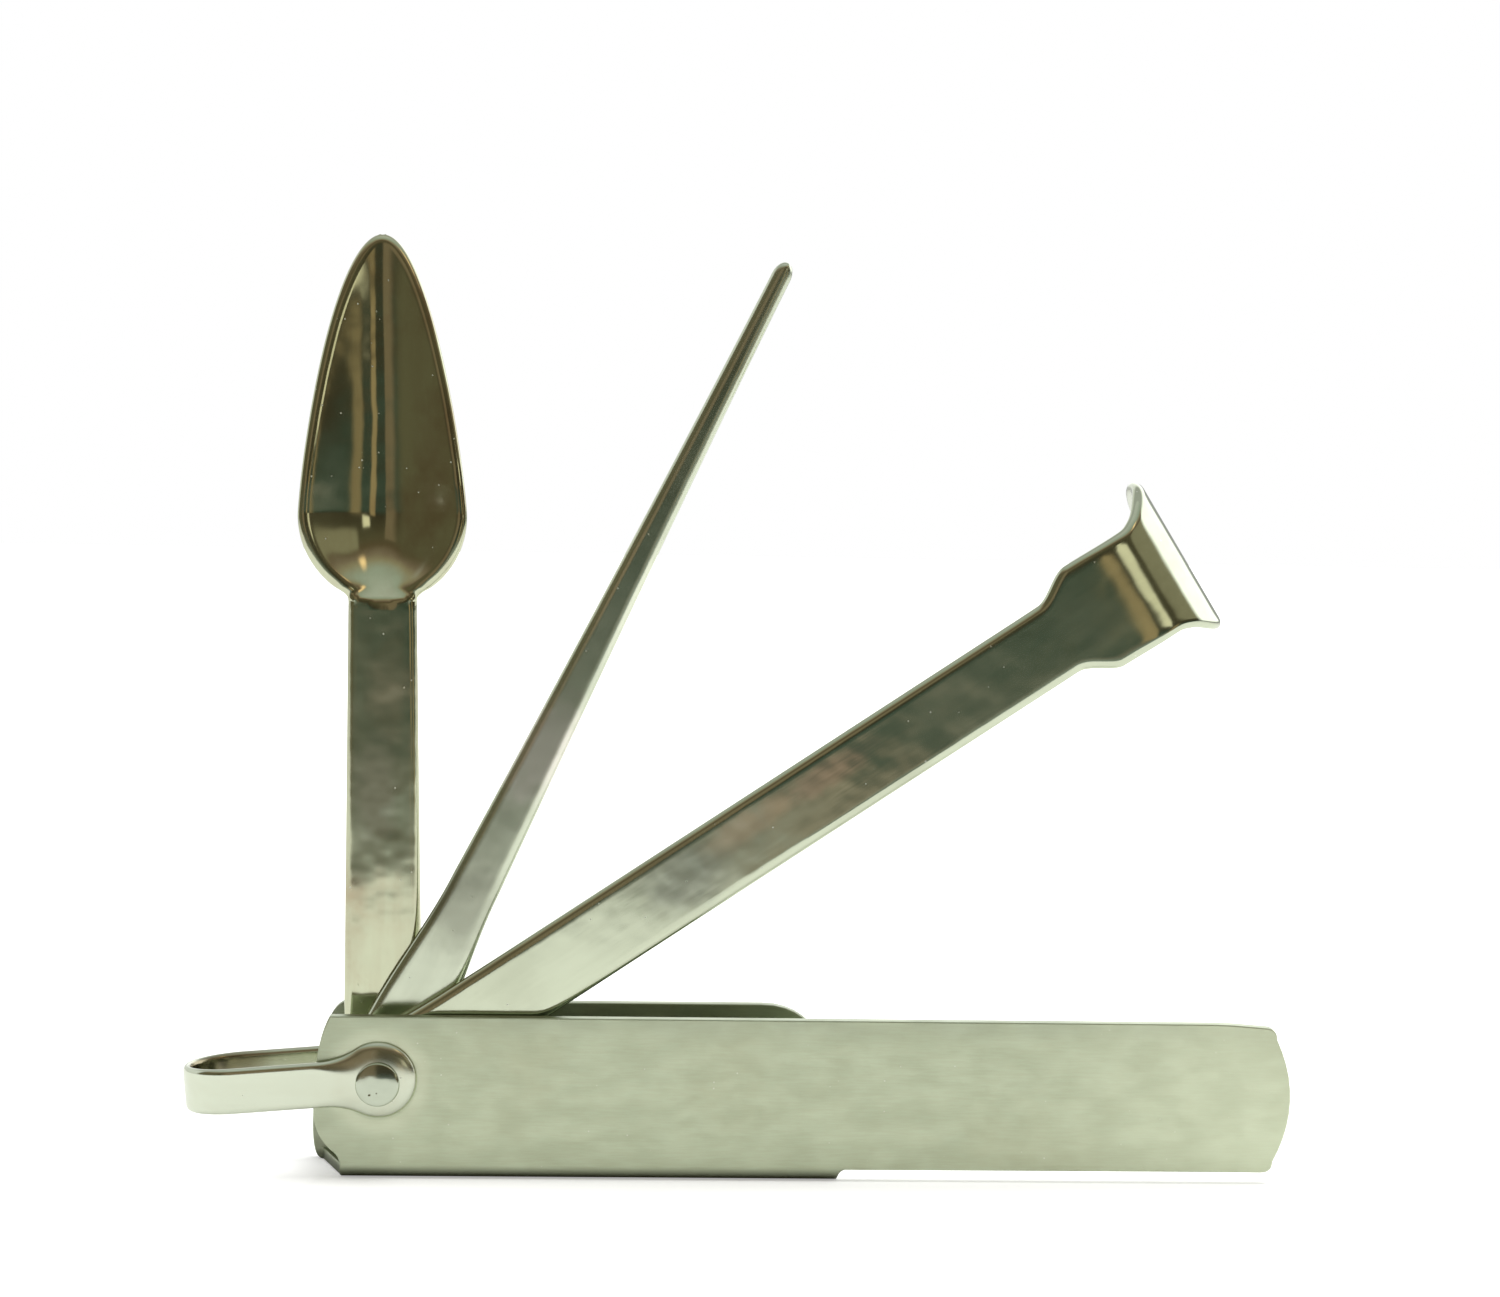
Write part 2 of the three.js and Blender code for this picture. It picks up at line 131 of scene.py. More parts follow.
def piece_from(name, points, faces):
    """A closed piece from points in millimetres."""
    mesh = bpy.data.meshes.new(name)
    mesh.from_pydata((points.reshape(-1, 3) * MM).tolist(), [], faces.tolist())
    close_and_face(mesh)
    piece = new_object(name, mesh)
    smooth(piece)
    return piece


def report(piece):
    """Print a piece's faces and whether its skin is closed."""
    work = bmesh.new()
    work.from_mesh(piece.data)
    loose = sum(not edge.is_manifold for edge in work.edges)
    volume = work.calc_volume() / MM**3
    print(f"{piece.name}: {len(work.faces)} faces, {loose} open edges, volume {volume:.1f} mm3")
    work.free()


print("mesh helpers ready, edges sharp past", sharp_degrees, "degrees")

# %% [markdown]
# ## One skin for every pressed strip
#
# Tamper, pick, spoon and shackle are all blanked from sheet, with edges rolled round. Each is
# described by the half width of its blank along its length, by how deep its rim is rounded, and
# by a form that carries a point of the blank into space. Lines run round the strip, over its
# front, round the rim and back under it. They follow the outline, so the rim stays even along
# every curve, which a bevel on a finished solid doesn't manage round a tight point.

# %% Trace an outline
trace_places = 4001


def traced(half_at, start, end, spacing, turn):
    """Places on the half outline w = half_at(u), one for each spacing of length or turn of angle."""
    share = (1 - np.cos(np.linspace(0, np.pi, trace_places))) / 2
    u = start + (end - start) * share
    w = half_at(u)
    du, dw = np.gradient(u), np.gradient(w)
    du[[0, -1]] = 0
    angle = np.unwrap(np.arctan2(dw, du))
    steps = np.hypot(np.diff(u), np.diff(w)) / spacing + np.abs(np.diff(angle)) / turn
    measure = np.concatenate([[0], np.cumsum(steps)])
    at = np.linspace(0, measure[-1], int(np.ceil(measure[-1])) + 1)
    return [np.interp(at, measure, values) for values in (u, w, angle)]


print("outlines are traced over", trace_places, "places")

# %% Wrap a skin round an outline
rim_steps = 7
rim_reach = 0.98


def even_columns(u, half, count):
    """Shares from 1 to -1 across the flat of a strip, the same at each station."""
    return np.broadcast_to(np.linspace(1, -1, count + 1)[1:-1], (len(u), count - 1))


def skin(outline, thick, edge, form, count=12, columns=even_columns, one_sided=0.0):
    """Points of a strip's skin. At depth d inside the outline the half thickness is
    thick / 2 * sqrt(1 - (1 - d / edge)^2), a quarter ellipse, and beyond the edge it is even.
    Where one_sided is 1, the whole thickness is rounded from one face and the other stays flat."""
    u, w, angle = (values[:, None] for values in outline)
    edge = np.broadcast_to(edge, u.shape)
    reach = w / np.maximum(np.cos(angle), 1e-6)
    reach[[0, -1]] = reach[[1, -2]]
    depth = np.minimum(edge, rim_reach * reach)
    rise = np.sqrt(1 - (1 - depth / edge) ** 2)
    psi = np.linspace(0, np.pi / 2, rim_steps + 1)[None, :]
    inner_half = w - np.cos(angle) * depth
    middle = columns((u + np.sin(angle) * depth)[:, 0], inner_half[:, 0], count)
    ones = np.ones((len(u), 1))
    deep = np.hstack([ones * (1 - np.cos(psi)), np.ones_like(middle), ones * (1 - np.cos(psi))[:, ::-1]])
    tall = np.hstack([ones * np.sin(psi), np.ones_like(middle), ones * np.sin(psi)[:, ::-1]])
    side = np.hstack([ones * np.ones_like(psi), middle, -ones * np.ones_like(psi)])
    back = slice(-2, 0, -1)
    deep, side = (np.hstack([values, values[:, back]]) for values in (deep, side))
    tall = np.hstack([-tall, tall[:, back]])
    along = u + np.sin(angle) * depth * deep
    across = (w - np.cos(angle) * depth * deep) * side
    at, normal = form(along, across)
    off = tall * rise + one_sided * (1 - np.abs(tall * rise))
    return at + normal * (off * thick / 2)[..., None]


print("a rim is rounded in", rim_steps, "steps a side")

# %% Shapes that several pieces share
def smoothstep(start, end, at):
    """A smooth rise from 0 to 1 between two places: 3 t^2 - 2 t^3."""
    t = np.clip((at - start) / (end - start), 0, 1)
    return t * t * (3 - 2 * t)


def lerp(start, end, share):
    """The value a share of the way from start to end."""
    return start + (end - start) * share


def chord(half, run, distance):
    """Half a chord across an ellipse, at a distance from its centre."""
    return half * np.sqrt(np.maximum(0, 1 - (distance / run) ** 2))


def fused(first, second, power=8):
    """The larger of two widths, with the corner between them filled."""
    largest = np.maximum(np.maximum(first, second), 1e-9)
    shares = [(np.maximum(width, 0) / largest) ** power for width in (first, second)]
    return largest * (shares[0] + shares[1]) ** (1 / power)


print("two equal widths fuse to", round(float(fused(1.0, 1.0)), 3))

# %% Set a blade on the rivet
blade_thick = 1.0
edge_round = 0.7
root_radius = 2.95
layer_step = 1.35
bore_radius = 1.28
bore_sides, cutter_half = 64, 9.0


def placed(points, degrees, layer):
    """Turn a blade about the rivet by its angle above the handle, and set it at its layer."""
    x, y, z = np.moveaxis(points, -1, 0)
    angle = math.radians(degrees)
    turned_x = x * math.cos(angle) - z * math.sin(angle)
    turned_z = x * math.sin(angle) + z * math.cos(angle)
    return np.stack([turned_x, y + layer, turned_z + pivot.z], axis=-1)


def bored(piece, radius):
    """Cut a round hole along Y at the rivet and keep the result as the piece's own mesh."""
    angle = np.linspace(0, 2 * np.pi, bore_sides + 1)[:-1]
    x, z = radius * np.sin(angle), radius * np.cos(angle) + pivot.z
    near, far = (np.stack([x, np.full_like(x, y), z], axis=-1) for y in (-cutter_half, cutter_half))
    near_end, far_end = (np.broadcast_to([0, y, pivot.z], near.shape) for y in (-cutter_half, cutter_half))
    cutter = piece_from("cutter", np.stack([near_end, near, far, far_end]), grid_faces(4, bore_sides))
    modifier = piece.modifiers.new("bore", "BOOLEAN")
    modifier.operation, modifier.solver, modifier.object = "DIFFERENCE", "EXACT", cutter
    shown = piece.evaluated_get(bpy.context.evaluated_depsgraph_get())
    piece.data = bpy.data.meshes.new_from_object(shown)
    piece.modifiers.clear()
    bpy.data.objects.remove(cutter)
    smooth(piece)


def blade(name, points, degrees, layer=0.0, radius=bore_radius):
    """A closed and bored piece from a skin's points, at its angle and its layer."""
    piece = piece_from(name, placed(points, degrees, layer), grid_faces(*points.shape[:2]))
    bored(piece, radius)
    report(piece)
    return piece


print("blades of", blade_thick, "mm lie", layer_step, "mm apart")

# %% [markdown]
# ## The pick
#
# A plain strip that tapers to a rounded point, for clearing the bore of a pipe. It lies flat, so
# its form only lays the blank out in the XZ plane.

# %% Make the pick
pick_length = 69.4
pick_half = 1.93
pick_point_half, pick_point_length = 0.75, 1.2
pick_shoulder = 3.0
pick_taper_from, pick_taper_power = 16.5, 1.4
pick_angle = 64.36


def pick_half_at(u):
    """A round root, a hollow shoulder, then point + (half - point) * (1 - t)^power to a half ellipse."""
    point_from = pick_length - pick_point_length
    t = np.clip((u - pick_taper_from) / (point_from - pick_taper_from), 0, 1)
    taper = pick_point_half + (pick_half - pick_point_half) * (1 - t) ** pick_taper_power
    body = lerp(root_radius, taper, smoothstep(pick_shoulder, pick_taper_from, u))
    half = np.where(u < 0, chord(root_radius, root_radius, u), body)
    return np.where(u > point_from, chord(pick_point_half, pick_point_length, u - point_from), half)


def flat_form(u, v):
    """The blank laid out flat: length along X, width along Z, faces towards Y."""
    at = np.stack([u, np.zeros_like(u), v], axis=-1)
    return at, np.broadcast_to([0.0, 1.0, 0.0], at.shape)


outline = traced(pick_half_at, -root_radius, pick_length, spacing=0.8, turn=0.12)
pick = blade("pick_blade", skin(outline, blade_thick, edge_round, flat_form), pick_angle)

# %% [markdown]
# ## The tamper
#
# A wider shank that flares, turns back through a right angle and ends in a round foot, which
# presses the tobacco down. A solid cut to this shape would lose the even thickness of bent
# sheet, so the blank is laid along a path instead: straight, then a turn of a little over 90
# degrees whose ends are eased, then straight again. The foot leans a little, as it does in the
# photograph.

# %% The tamper's blank
tamper_half_width = 3.0
flare_half = 4.5
flare_from, flare_to = 61.7, 65.1
bend_from, bend_radius = 68.85, 4.5
bend_turn = math.radians(92)
bend_eases = (2.4, 0.6)
foot_radius, foot_setback, foot_share = 6.6, 0.03, 0.8
bend_end = bend_from + bend_radius * bend_turn
foot_centre = bend_end + foot_setback
foot_end = foot_centre + foot_radius


def tamper_half_at(s):
    """Shank, flare and foot: the flare fades out as the circle of the foot takes over."""
    fade = 1 - smoothstep(foot_centre - foot_share * foot_radius, foot_centre, s)
    flare = lerp(tamper_half_width, flare_half, smoothstep(flare_from, flare_to, s))
    body = lerp(root_radius, flare, smoothstep(0, root_radius, s)) * fade
    foot = chord(foot_radius, foot_radius, s - foot_centre)
    half = np.where(s < 0, chord(root_radius, root_radius, s), fused(body, foot))
    return np.where(s > foot_centre, foot, half)


print("the tamper's blank is", round(foot_end + root_radius, 1), "mm long")

# %% Bend the tamper
path_places = 8001
tamper_drop, drop_run = 0.2, 8.0
lean_from, lean_to = 60.0, 69.0
foot_lean = math.radians(1.8)
tamper_angle = 34.15


def eased(run, ease):
    """The run past a place, its start rounded: (run + ease)^2 / (4 ease) while |run| < ease."""
    return np.where(np.abs(run) < ease, (run + ease) ** 2 / (4 * ease), np.maximum(run, 0))


def bend_angle(s):
    """The sheet turns at 1 / bend_radius from bend_from to bend_end, with both ends rounded."""
    return (eased(s - bend_from, bend_eases[0]) - eased(s - bend_end, bend_eases[1])) / bend_radius


path_s = np.linspace(-root_radius, foot_end, path_places)
path_step = path_s[1] - path_s[0]
path_angle = bend_angle(path_s[:-1] + path_step / 2)
path_x = path_s[0] + np.concatenate([[0], np.cumsum(np.cos(path_angle))]) * path_step
path_y = np.concatenate([[0], np.cumsum(np.sin(path_angle))]) * path_step


def bent_form(s, v):
    """Along the path whose x and y are the running sums of the bend angle's cosine and sine."""
    angle = bend_angle(s)
    v = v - tamper_drop * smoothstep(0, drop_run, s)
    x = np.interp(s, path_s, path_x)
    y = np.interp(s, path_s, path_y)
    hinge = (lean_from + lean_to) / 2
    lean = foot_lean * smoothstep(lean_from, lean_to, s)
    leant_x = hinge + (x - hinge) * np.cos(lean) + v * np.sin(lean)
    leant_z = v * np.cos(lean) - (x - hinge) * np.sin(lean)
    across = -np.sin(angle)
    normal = np.stack([across * np.cos(lean), np.cos(angle), -across * np.sin(lean)], axis=-1)
    return np.stack([leant_x, y, leant_z], axis=-1), normal


outline = traced(tamper_half_at, -root_radius, foot_end, spacing=0.45, turn=0.1)
tamper_skin = skin(outline, blade_thick, edge_round, bent_form, count=20)
tamper = blade("tamper_blade", tamper_skin, tamper_angle, -layer_step)

# %% [markdown]
# ## The spoon
#
# The spoon scrapes out ash. Its bowl is pressed backwards inside two ridge lines that run out
# from the shank, and the sheet outside them is rolled back. The press leaves the sheet one
# thickness everywhere, so the form gives the sheet's middle surface and its normal, and the skin
# is set off to both sides. Columns are bunched so that one of them lies on each ridge line, or
# the crease would step from face to face.

# %% The spoon's blank and its ridge
spoon_length = 64.17
shank_half, neck_half, neck_end = 3.05, 2.6, 37.05
bowl_half, widest_at, heel_run = 6.4, 43.0, 6.7
bowl_tip_power = 1.24
hollow_from, foot_arc_run, foot_arc_half = 36.15, 1.0, 2.7
ridge_half, ridge_run, ridge_widest, ridge_share = 6.5, 8.53, 45.25, 0.98


def spoon_half_at(u):
    """A slim shank that runs into an elliptic heel, then half * sqrt(1 - t^power) to the point."""
    t = np.clip((u - widest_at) / (spoon_length - widest_at), 0, 1)
    point = bowl_half * np.sqrt(1 - t**bowl_tip_power)
    shank = lerp(shank_half, neck_half, u / neck_end)
    root = lerp(root_radius, shank, smoothstep(0, root_radius, u))
    half = fused(root, chord(bowl_half, heel_run, widest_at - u))
    half = np.where(u < 0, chord(root_radius, root_radius, u), half)
    return np.where(u > widest_at, point, half)


def ridge_at(u):
    """How far the edge of the hollow lies from the middle: an arc across the shank, then a
    quarter ellipse out to the rim, and along the rim from there to the point."""
    arc = chord(foot_arc_half, foot_arc_run, np.clip(hollow_from + foot_arc_run - u, 0, foot_arc_run))
    flank = chord(ridge_half, ridge_run, np.maximum(ridge_widest - u, 0))
    return np.minimum(fused(arc, flank), ridge_share * spoon_half_at(u))


print("the bowl is", round(2 * float(spoon_half_at(widest_at)), 1), "mm wide")

# %% Press the bowl
bowl_depth, bowl_skew = 2.7, 0.18
hollow_power, heel_square, bowl_square = 1.5, 2.5, 2
heel_roll, heel_to, tip_fall = 1.1, 43.2, 1.4
outer_part = 5
share_least, share_most = 0.5, 0.95
spoon_angle = 90.5


def sink_at(u, v):
    """How far back the sheet lies. Inside the ridge it is depth * (1 - t^m)^power, t being the
    share of the way out to the ridge, with m larger at the heel, where the whole width dips at
    once. The floor of the bowl stays level to the point, so the rim leans back as it narrows."""
    ridge = np.maximum(ridge_at(u), 1e-3)
    outside = np.maximum(np.abs(v) - ridge, 0)
    rise = np.clip((u - hollow_from) / (heel_to - hollow_from), 0, 1)
    run = np.clip((u - ridge_widest) / (spoon_length - ridge_widest), 0, 1)
    floor = bowl_depth * (1 - (1 - rise) ** 2)
    depth = floor * (1 - run**tip_fall)
    square = lerp(heel_square, bowl_square, smoothstep(hollow_from, widest_at, u))
    hollow = depth * (1 - np.minimum(np.abs(v) / ridge, 1) ** square) ** hollow_power
    lean = floor - depth
    roll = heel_roll * outside**2 / edge_round / 2
    return np.where(u <= hollow_from, 0, hollow + lean + roll * smoothstep(hollow_from, neck_end, u))


def pressed_form(u, v, small=0.04):
    """The middle surface (u, sink, v) and the direction straight through it."""
    slope_u = (sink_at(u + small, v) - sink_at(u - small, v)) / (2 * small)
    slope_v = (sink_at(u, v + small) - sink_at(u, v - small)) / (2 * small)
    skew = bowl_skew * smoothstep(widest_at, spoon_length, u)
    at = np.stack([u, sink_at(u, v), v + skew], axis=-1)
    normal = np.stack([-slope_u, np.ones_like(u), -slope_v], axis=-1)
    return at, normal / np.linalg.norm(normal, axis=-1, keepdims=True)


def ridge_columns(u, half, count):
    """Shares across the flat: a fifth of the columns on each side lie outside the ridge line."""
    outer = count // outer_part
    share = np.clip(ridge_at(u) / half, share_least, share_most)[:, None]
    left = 1 + (share - 1) * np.arange(1, outer) / outer
    inside = share * np.linspace(1, -1, count - 2 * outer + 1)[None, :]
    return np.hstack([left, inside, -left[:, ::-1]])


outline = traced(spoon_half_at, -root_radius, spoon_length, spacing=0.3, turn=0.08)
spoon_skin = skin(outline, blade_thick, edge_round, pressed_form, count=60, columns=ridge_columns)
spoon = blade("spoon_blade", spoon_skin, spoon_angle, layer_step)

# %% [markdown]
# ## The shackle
#
# One strap with an eye at each end, bent round to a narrow loop. Its blank is a straight strip,
# so the same skin serves: the form sends its middle length round half an ellipse, and the two
# arms along the outside of the handle. The eyes are domed from the press: they are rounded
# further in than the band, and only on the face that shows.

# %% The strap's blank and its loop
strap_thick, strap_half = 0.65, 1.75
eye_radius, neck_length, neck_power = 2.95, 5.0, 2.6
eye_leave = math.radians(60)
plate_outside, face_gap = 3.1, 0.025
loop_reach, loop_round, loop_places = 15.1, 4.2, 2001
shackle_skew = 0.2
arm_y = plate_outside + face_gap + strap_thick / 2
arm_length = loop_reach - loop_round
loop_half_x = loop_round - strap_thick / 2
loop_angles = np.linspace(0, np.pi, loop_places)
loop_steps = np.hypot(loop_half_x * np.cos(loop_angles), arm_y * np.sin(loop_angles))
loop_parts = (loop_steps[1:] + loop_steps[:-1]) / 2 * np.diff(loop_angles)
loop_lengths = np.concatenate([[0], np.cumsum(loop_parts)])
strap_length = 2 * arm_length + loop_lengths[-1]


def strap_half_at(s):
    """A round eye at each end, a hollow neck, and an even band between."""
    from_end = np.minimum(s, strap_length - s)
    leave_x, leave_z = eye_radius * math.cos(eye_leave), eye_radius * math.sin(eye_leave)
    eye = chord(eye_radius, eye_radius, from_end)
    t = np.clip((from_end - leave_x) / (neck_length - leave_x), 0, 1)
    neck = strap_half + (leave_z - strap_half) * (1 - t) ** neck_power
    return np.where(from_end < leave_x, eye, neck)


def loop_form(s, v):
    """Out along the front arm, round half an ellipse by its arc length, back along the rear arm."""
    bent = np.clip(s - arm_length, 0, loop_lengths[-1])
    angle = np.interp(bent, loop_lengths, loop_angles)
    arm = np.where(s > strap_length / 2, strap_length - s, s)
    x = -np.minimum(arm, arm_length) - loop_half_x * np.sin(angle)
    y = -arm_y * np.cos(angle)
    length = np.hypot(arm_y * np.sin(angle), loop_half_x * np.cos(angle))
    at = np.stack([x, y, v - shackle_skew / (arm_y + strap_thick / 2) * y], axis=-1)
    normal = (arm_y * np.sin(angle) / length, loop_half_x * np.cos(angle) / length, np.zeros_like(s))
    return at, np.stack(normal, axis=-1)


print("the strap is", round(strap_length, 1), "mm long between the eyes' centres")

# %% Make the shackle
shackle_droop, shackle_bore = 4.8, 1.43
dome_to, eye_edge, band_edge = 1.0, 2.1, 0.45

outline = traced(strap_half_at, -eye_radius, strap_length + eye_radius, spacing=0.35, turn=0.1)
from_end = np.minimum(outline[0], strap_length - outline[0])[:, None]
towards_band = smoothstep(dome_to, neck_length, from_end)
strap_edge = lerp(eye_edge, band_edge, towards_band)
strap_skin = skin(outline, strap_thick, strap_edge, loop_form, count=16, one_sided=1 - towards_band)
shackle = blade("key_ring_shackle", strap_skin, shackle_droop, radius=shackle_bore)

# %% [markdown]
# ## The rivet and the washers
#
# The rivet's heads were set with a hammer: low, nearly flat, a little slanted, with small pits
# and wide shallow dents that make its shine wavy. Its profile is turned about Y, and the dents
# are pressed into the crown. The washers are thin turned rings with a broken edge.

# %% Turn the rivet
rivet_radius, head_radius, head_height, head_crown = 1.2, 1.68, 0.45, 0.12
head_under = plate_outside + 2 * face_gap + strap_thick
crown_share, rim_foot, head_tuck = 0.9, 0.35, 0.98
crown_lean, crown_sunk = math.radians(3.5), 0.02
crown_from, crown_to = head_under + head_height * 0.5, head_under + head_height * 0.7
crown_dents = (
    (-0.57, -0.62, 0.13, 0.05),
    (-0.05, -0.5, 0.11, 0.04),
    (-0.45, 0.1, 0.5, 0.02),
    (0.55, -0.15, 0.45, 0.018),
    (-0.1, -0.95, 0.5, 0.015),
)
turned_steps = 96


def turned(name, profile, press=None, closed=False):
    """A profile of radius and place along Y, carried round the rivet's axis."""
    angle = np.linspace(0, 2 * np.pi, turned_steps + 1)[:-1][None, :]
    radius, y = profile[:, :1], profile[:, 1:]
    x, z = radius * np.sin(angle), radius * np.cos(angle)
    y = np.broadcast_to(y, x.shape)
    y = y if press is None else press(x, y, z)
    points = np.stack([x, y, z + pivot.z], axis=-1)
    return piece_from(name, points, grid_faces(len(profile), turned_steps, closed))


def head_profile():
    """From the middle of the crown down its rounded rim to the shank, as radius and height."""
    share = np.linspace(0, crown_share, 14)
    crown = np.stack([head_radius * share, head_height - head_crown * share**2], axis=-1)
    angle = np.linspace(0, np.pi / 2, 6)[1:]
    drop = head_height - head_crown * crown_share**2
    rim_radius = head_radius * (crown_share + (1 - crown_share) * np.sin(angle))
    rim_height = drop * (rim_foot + (1 - rim_foot) * np.cos(angle))
    shank = [[head_radius * head_tuck, 0], [rivet_radius, 0]]
    return np.vstack([crown, np.stack([rim_radius, rim_height], axis=-1), shank])


def dented(x, y, z):
    """The crown leans back by crown_lean and sinks by crown_sunk. Each dent takes off
    deep * exp(-r^2 / wide^2) more, r being the distance from its own centre."""
    press = math.tan(crown_lean) * z + crown_sunk
    for centre_x, centre_z, wide, deep in crown_dents:
        press = press + deep * np.exp(-((x - centre_x) ** 2 + (z - centre_z) ** 2) / wide**2)
    return y - np.sign(y) * press * smoothstep(crown_from, crown_to, np.abs(y))


head = head_profile() + np.array([0, head_under])
rivet = turned("rivet_pin", np.vstack([head, (head * [1, -1])[::-1]]), dented)
report(rivet)

# %% Turn the washers
washer_thick, washer_radius, washer_edge = 0.3, 2.6, 0.05
washer_names = ("front_washer", "tamper_pick_washer", "pick_spoon_washer", "rear_washer")
corner = np.linspace(0, np.pi / 2, 5)
quarter = np.stack([np.sin(corner), np.cos(corner)], axis=-1) * washer_edge
outer = quarter + [washer_radius - washer_edge, washer_thick / 2 - washer_edge]
inner = quarter[::-1] * [-1, 1] + [bore_radius + washer_edge, washer_thick / 2 - washer_edge]
washer_profile = np.vstack([inner, outer, (outer * [1, -1])[::-1], (inner * [1, -1])[::-1]])
washers = []
for number, node in enumerate(washer_names):
    layer = (number - 1.5) * layer_step
    washers.append(turned(node.replace("washer", "ring"), washer_profile + [0, layer], closed=True))
    report(washers[-1])

# %% [markdown]
# ## The handle
#
# A single strip of sheet, folded to a narrow U. Its flat plates, bends and cut outlines are
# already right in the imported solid. What the real one has besides is a broken edge all round
# from tumbling, and ends that wear has eased. So a merged copy of the solid is cleaned to flat
# faces, its ends are drawn in a little, and it gets a Bevel. Weighted normals keep the plates
# flat to the eye beside the rounded edges.

# %% Copy the folded handle
flat_within = math.radians(0.5)


def tidied_copy(node, name):
    """A copy of a node's mesh, merged and with its flat faces joined."""
    mesh = frame["nodes"][node].data.copy()
    mesh.name = name
    mesh.materials.clear()
    work = bmesh.new()
    work.from_mesh(mesh)
    bmesh.ops.remove_doubles(work, verts=work.verts, dist=merge_within)
    bmesh.ops.dissolve_limit(
        work, angle_limit=flat_within, verts=work.verts, edges=work.edges, use_dissolve_boundaries=False
    )
    work.to_mesh(mesh)
    work.free()
    return new_object(name, mesh)


handle = tidied_copy("handle", "folded_handle")
plate_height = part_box("handle")[1][2] / MM
print("the plates are", round(plate_height, 1), "mm high")

# %% Ease its ends
end_droop, droop_from, droop_to, droop_cuts = 0.3, 64.2, 69.6, 5
rear_trim, rear_trim_from = 0.8, 28.0


def eased_ends(piece):
    """The front plate's top edge droops before its right corner, and the rear plate's right end
    slants back towards the top: z falls by end_droop, and x by rear_trim, along a smooth rise."""
    work = bmesh.new()
    work.from_mesh(piece.data)
    for cut in np.linspace(droop_from, droop_to, droop_cuts):
        everything = work.verts[:] + work.edges[:] + work.faces[:]
        bmesh.ops.bisect_plane(work, geom=everything, plane_co=(cut * MM, 0, 0), plane_no=(1, 0, 0))
    work.to_mesh(piece.data)
    work.free()
    points = np.empty(len(piece.data.vertices) * 3)
    piece.data.vertices.foreach_get("co", points)
    x, y, z = (points.reshape(-1, 3) / MM).T
    droop = end_droop * smoothstep(droop_from, droop_to, x) * z / plate_height
    on_rear = (y > 0) & (x > rear_trim_from)
    trim = rear_trim * smoothstep(plate_height / 2, plate_height, z) * on_rear
    points = np.stack([x - trim, y, z - droop], axis=-1) * MM
    piece.data.vertices.foreach_set("co", points.ravel())
    piece.data.update()


eased_ends(handle)
print("the handle has", len(handle.data.vertices), "points")

# %% Break its edges
handle.data.edges.foreach_set("use_edge_sharp", [False] * len(handle.data.edges))
handle.data.shade_smooth()
bevel = handle.modifiers.new("broken edge", "BEVEL")
bevel.width = 0.1 * MM
bevel.segments = 3
bevel.limit_method = "ANGLE"
bevel.angle_limit = math.radians(28)
bevel.use_clamp_overlap = False
weighted = handle.modifiers.new("flat faces", "WEIGHTED_NORMAL")
weighted.weight = 100
report(handle)

# %% [markdown]
# ## Node helpers
#
# A small function adds a node, sets its values and links its inputs, so that a tree reads from
# top to bottom as a recipe.

# %% Add nodes by name
def emptied(owner):
    """The node tree of a material or a world, with nothing in it."""
    owner.use_nodes = True
    owner.node_tree.nodes.clear()
    return owner.node_tree


def add(tree, kind, links=(), **settings):
    """A node with its settings, and its inputs given as (name or number, value or socket)."""
    node = tree.nodes.new(kind)
    for name, value in settings.items():
        setattr(node, name, value)
    for name, value in links:
        if isinstance(value, bpy.types.NodeSocket):
            tree.links.new(value, node.inputs[name])
        else:
            node.inputs[name].default_value = value
    return node


def maths(tree, operation, *values):
    """The result of one Math node."""
    return add(tree, "ShaderNodeMath", enumerate(values), operation=operation).outputs[0]


def times(tree, first, *others):
    """The product of two or more values."""
    for other in others:
        first = maths(tree, "MULTIPLY", first, other)
    return first


def distance(tree, across, up):
    """The length sqrt(across^2 + up^2)."""
    return maths(tree, "SQRT", maths(tree, "ADD", times(tree, across, across), times(tree, up, up)))


def ramp(tree, value, low, high, to_low=0.0, to_high=1.0, kind="SMOOTHSTEP"):
    """A value mapped from one range to another, held at its ends."""
    ends = (("Value", value), ("From Min", low), ("From Max", high), ("To Min", to_low), ("To Max", to_high))
    return add(tree, "ShaderNodeMapRange", ends, interpolation_type=kind).outputs["Result"]


def rgb(red, green, blue):
    """A colour with the alpha that a socket asks for."""
    return (red, green, blue, 1.0)


def mixed(tree, share, first, second):
    """Two colours mixed by a share."""
    links = ((0, share), (6, first), (7, second))
    return add(tree, "ShaderNodeMix", links, data_type="RGBA", clamp_factor=True).outputs[2]


print("node helpers ready")
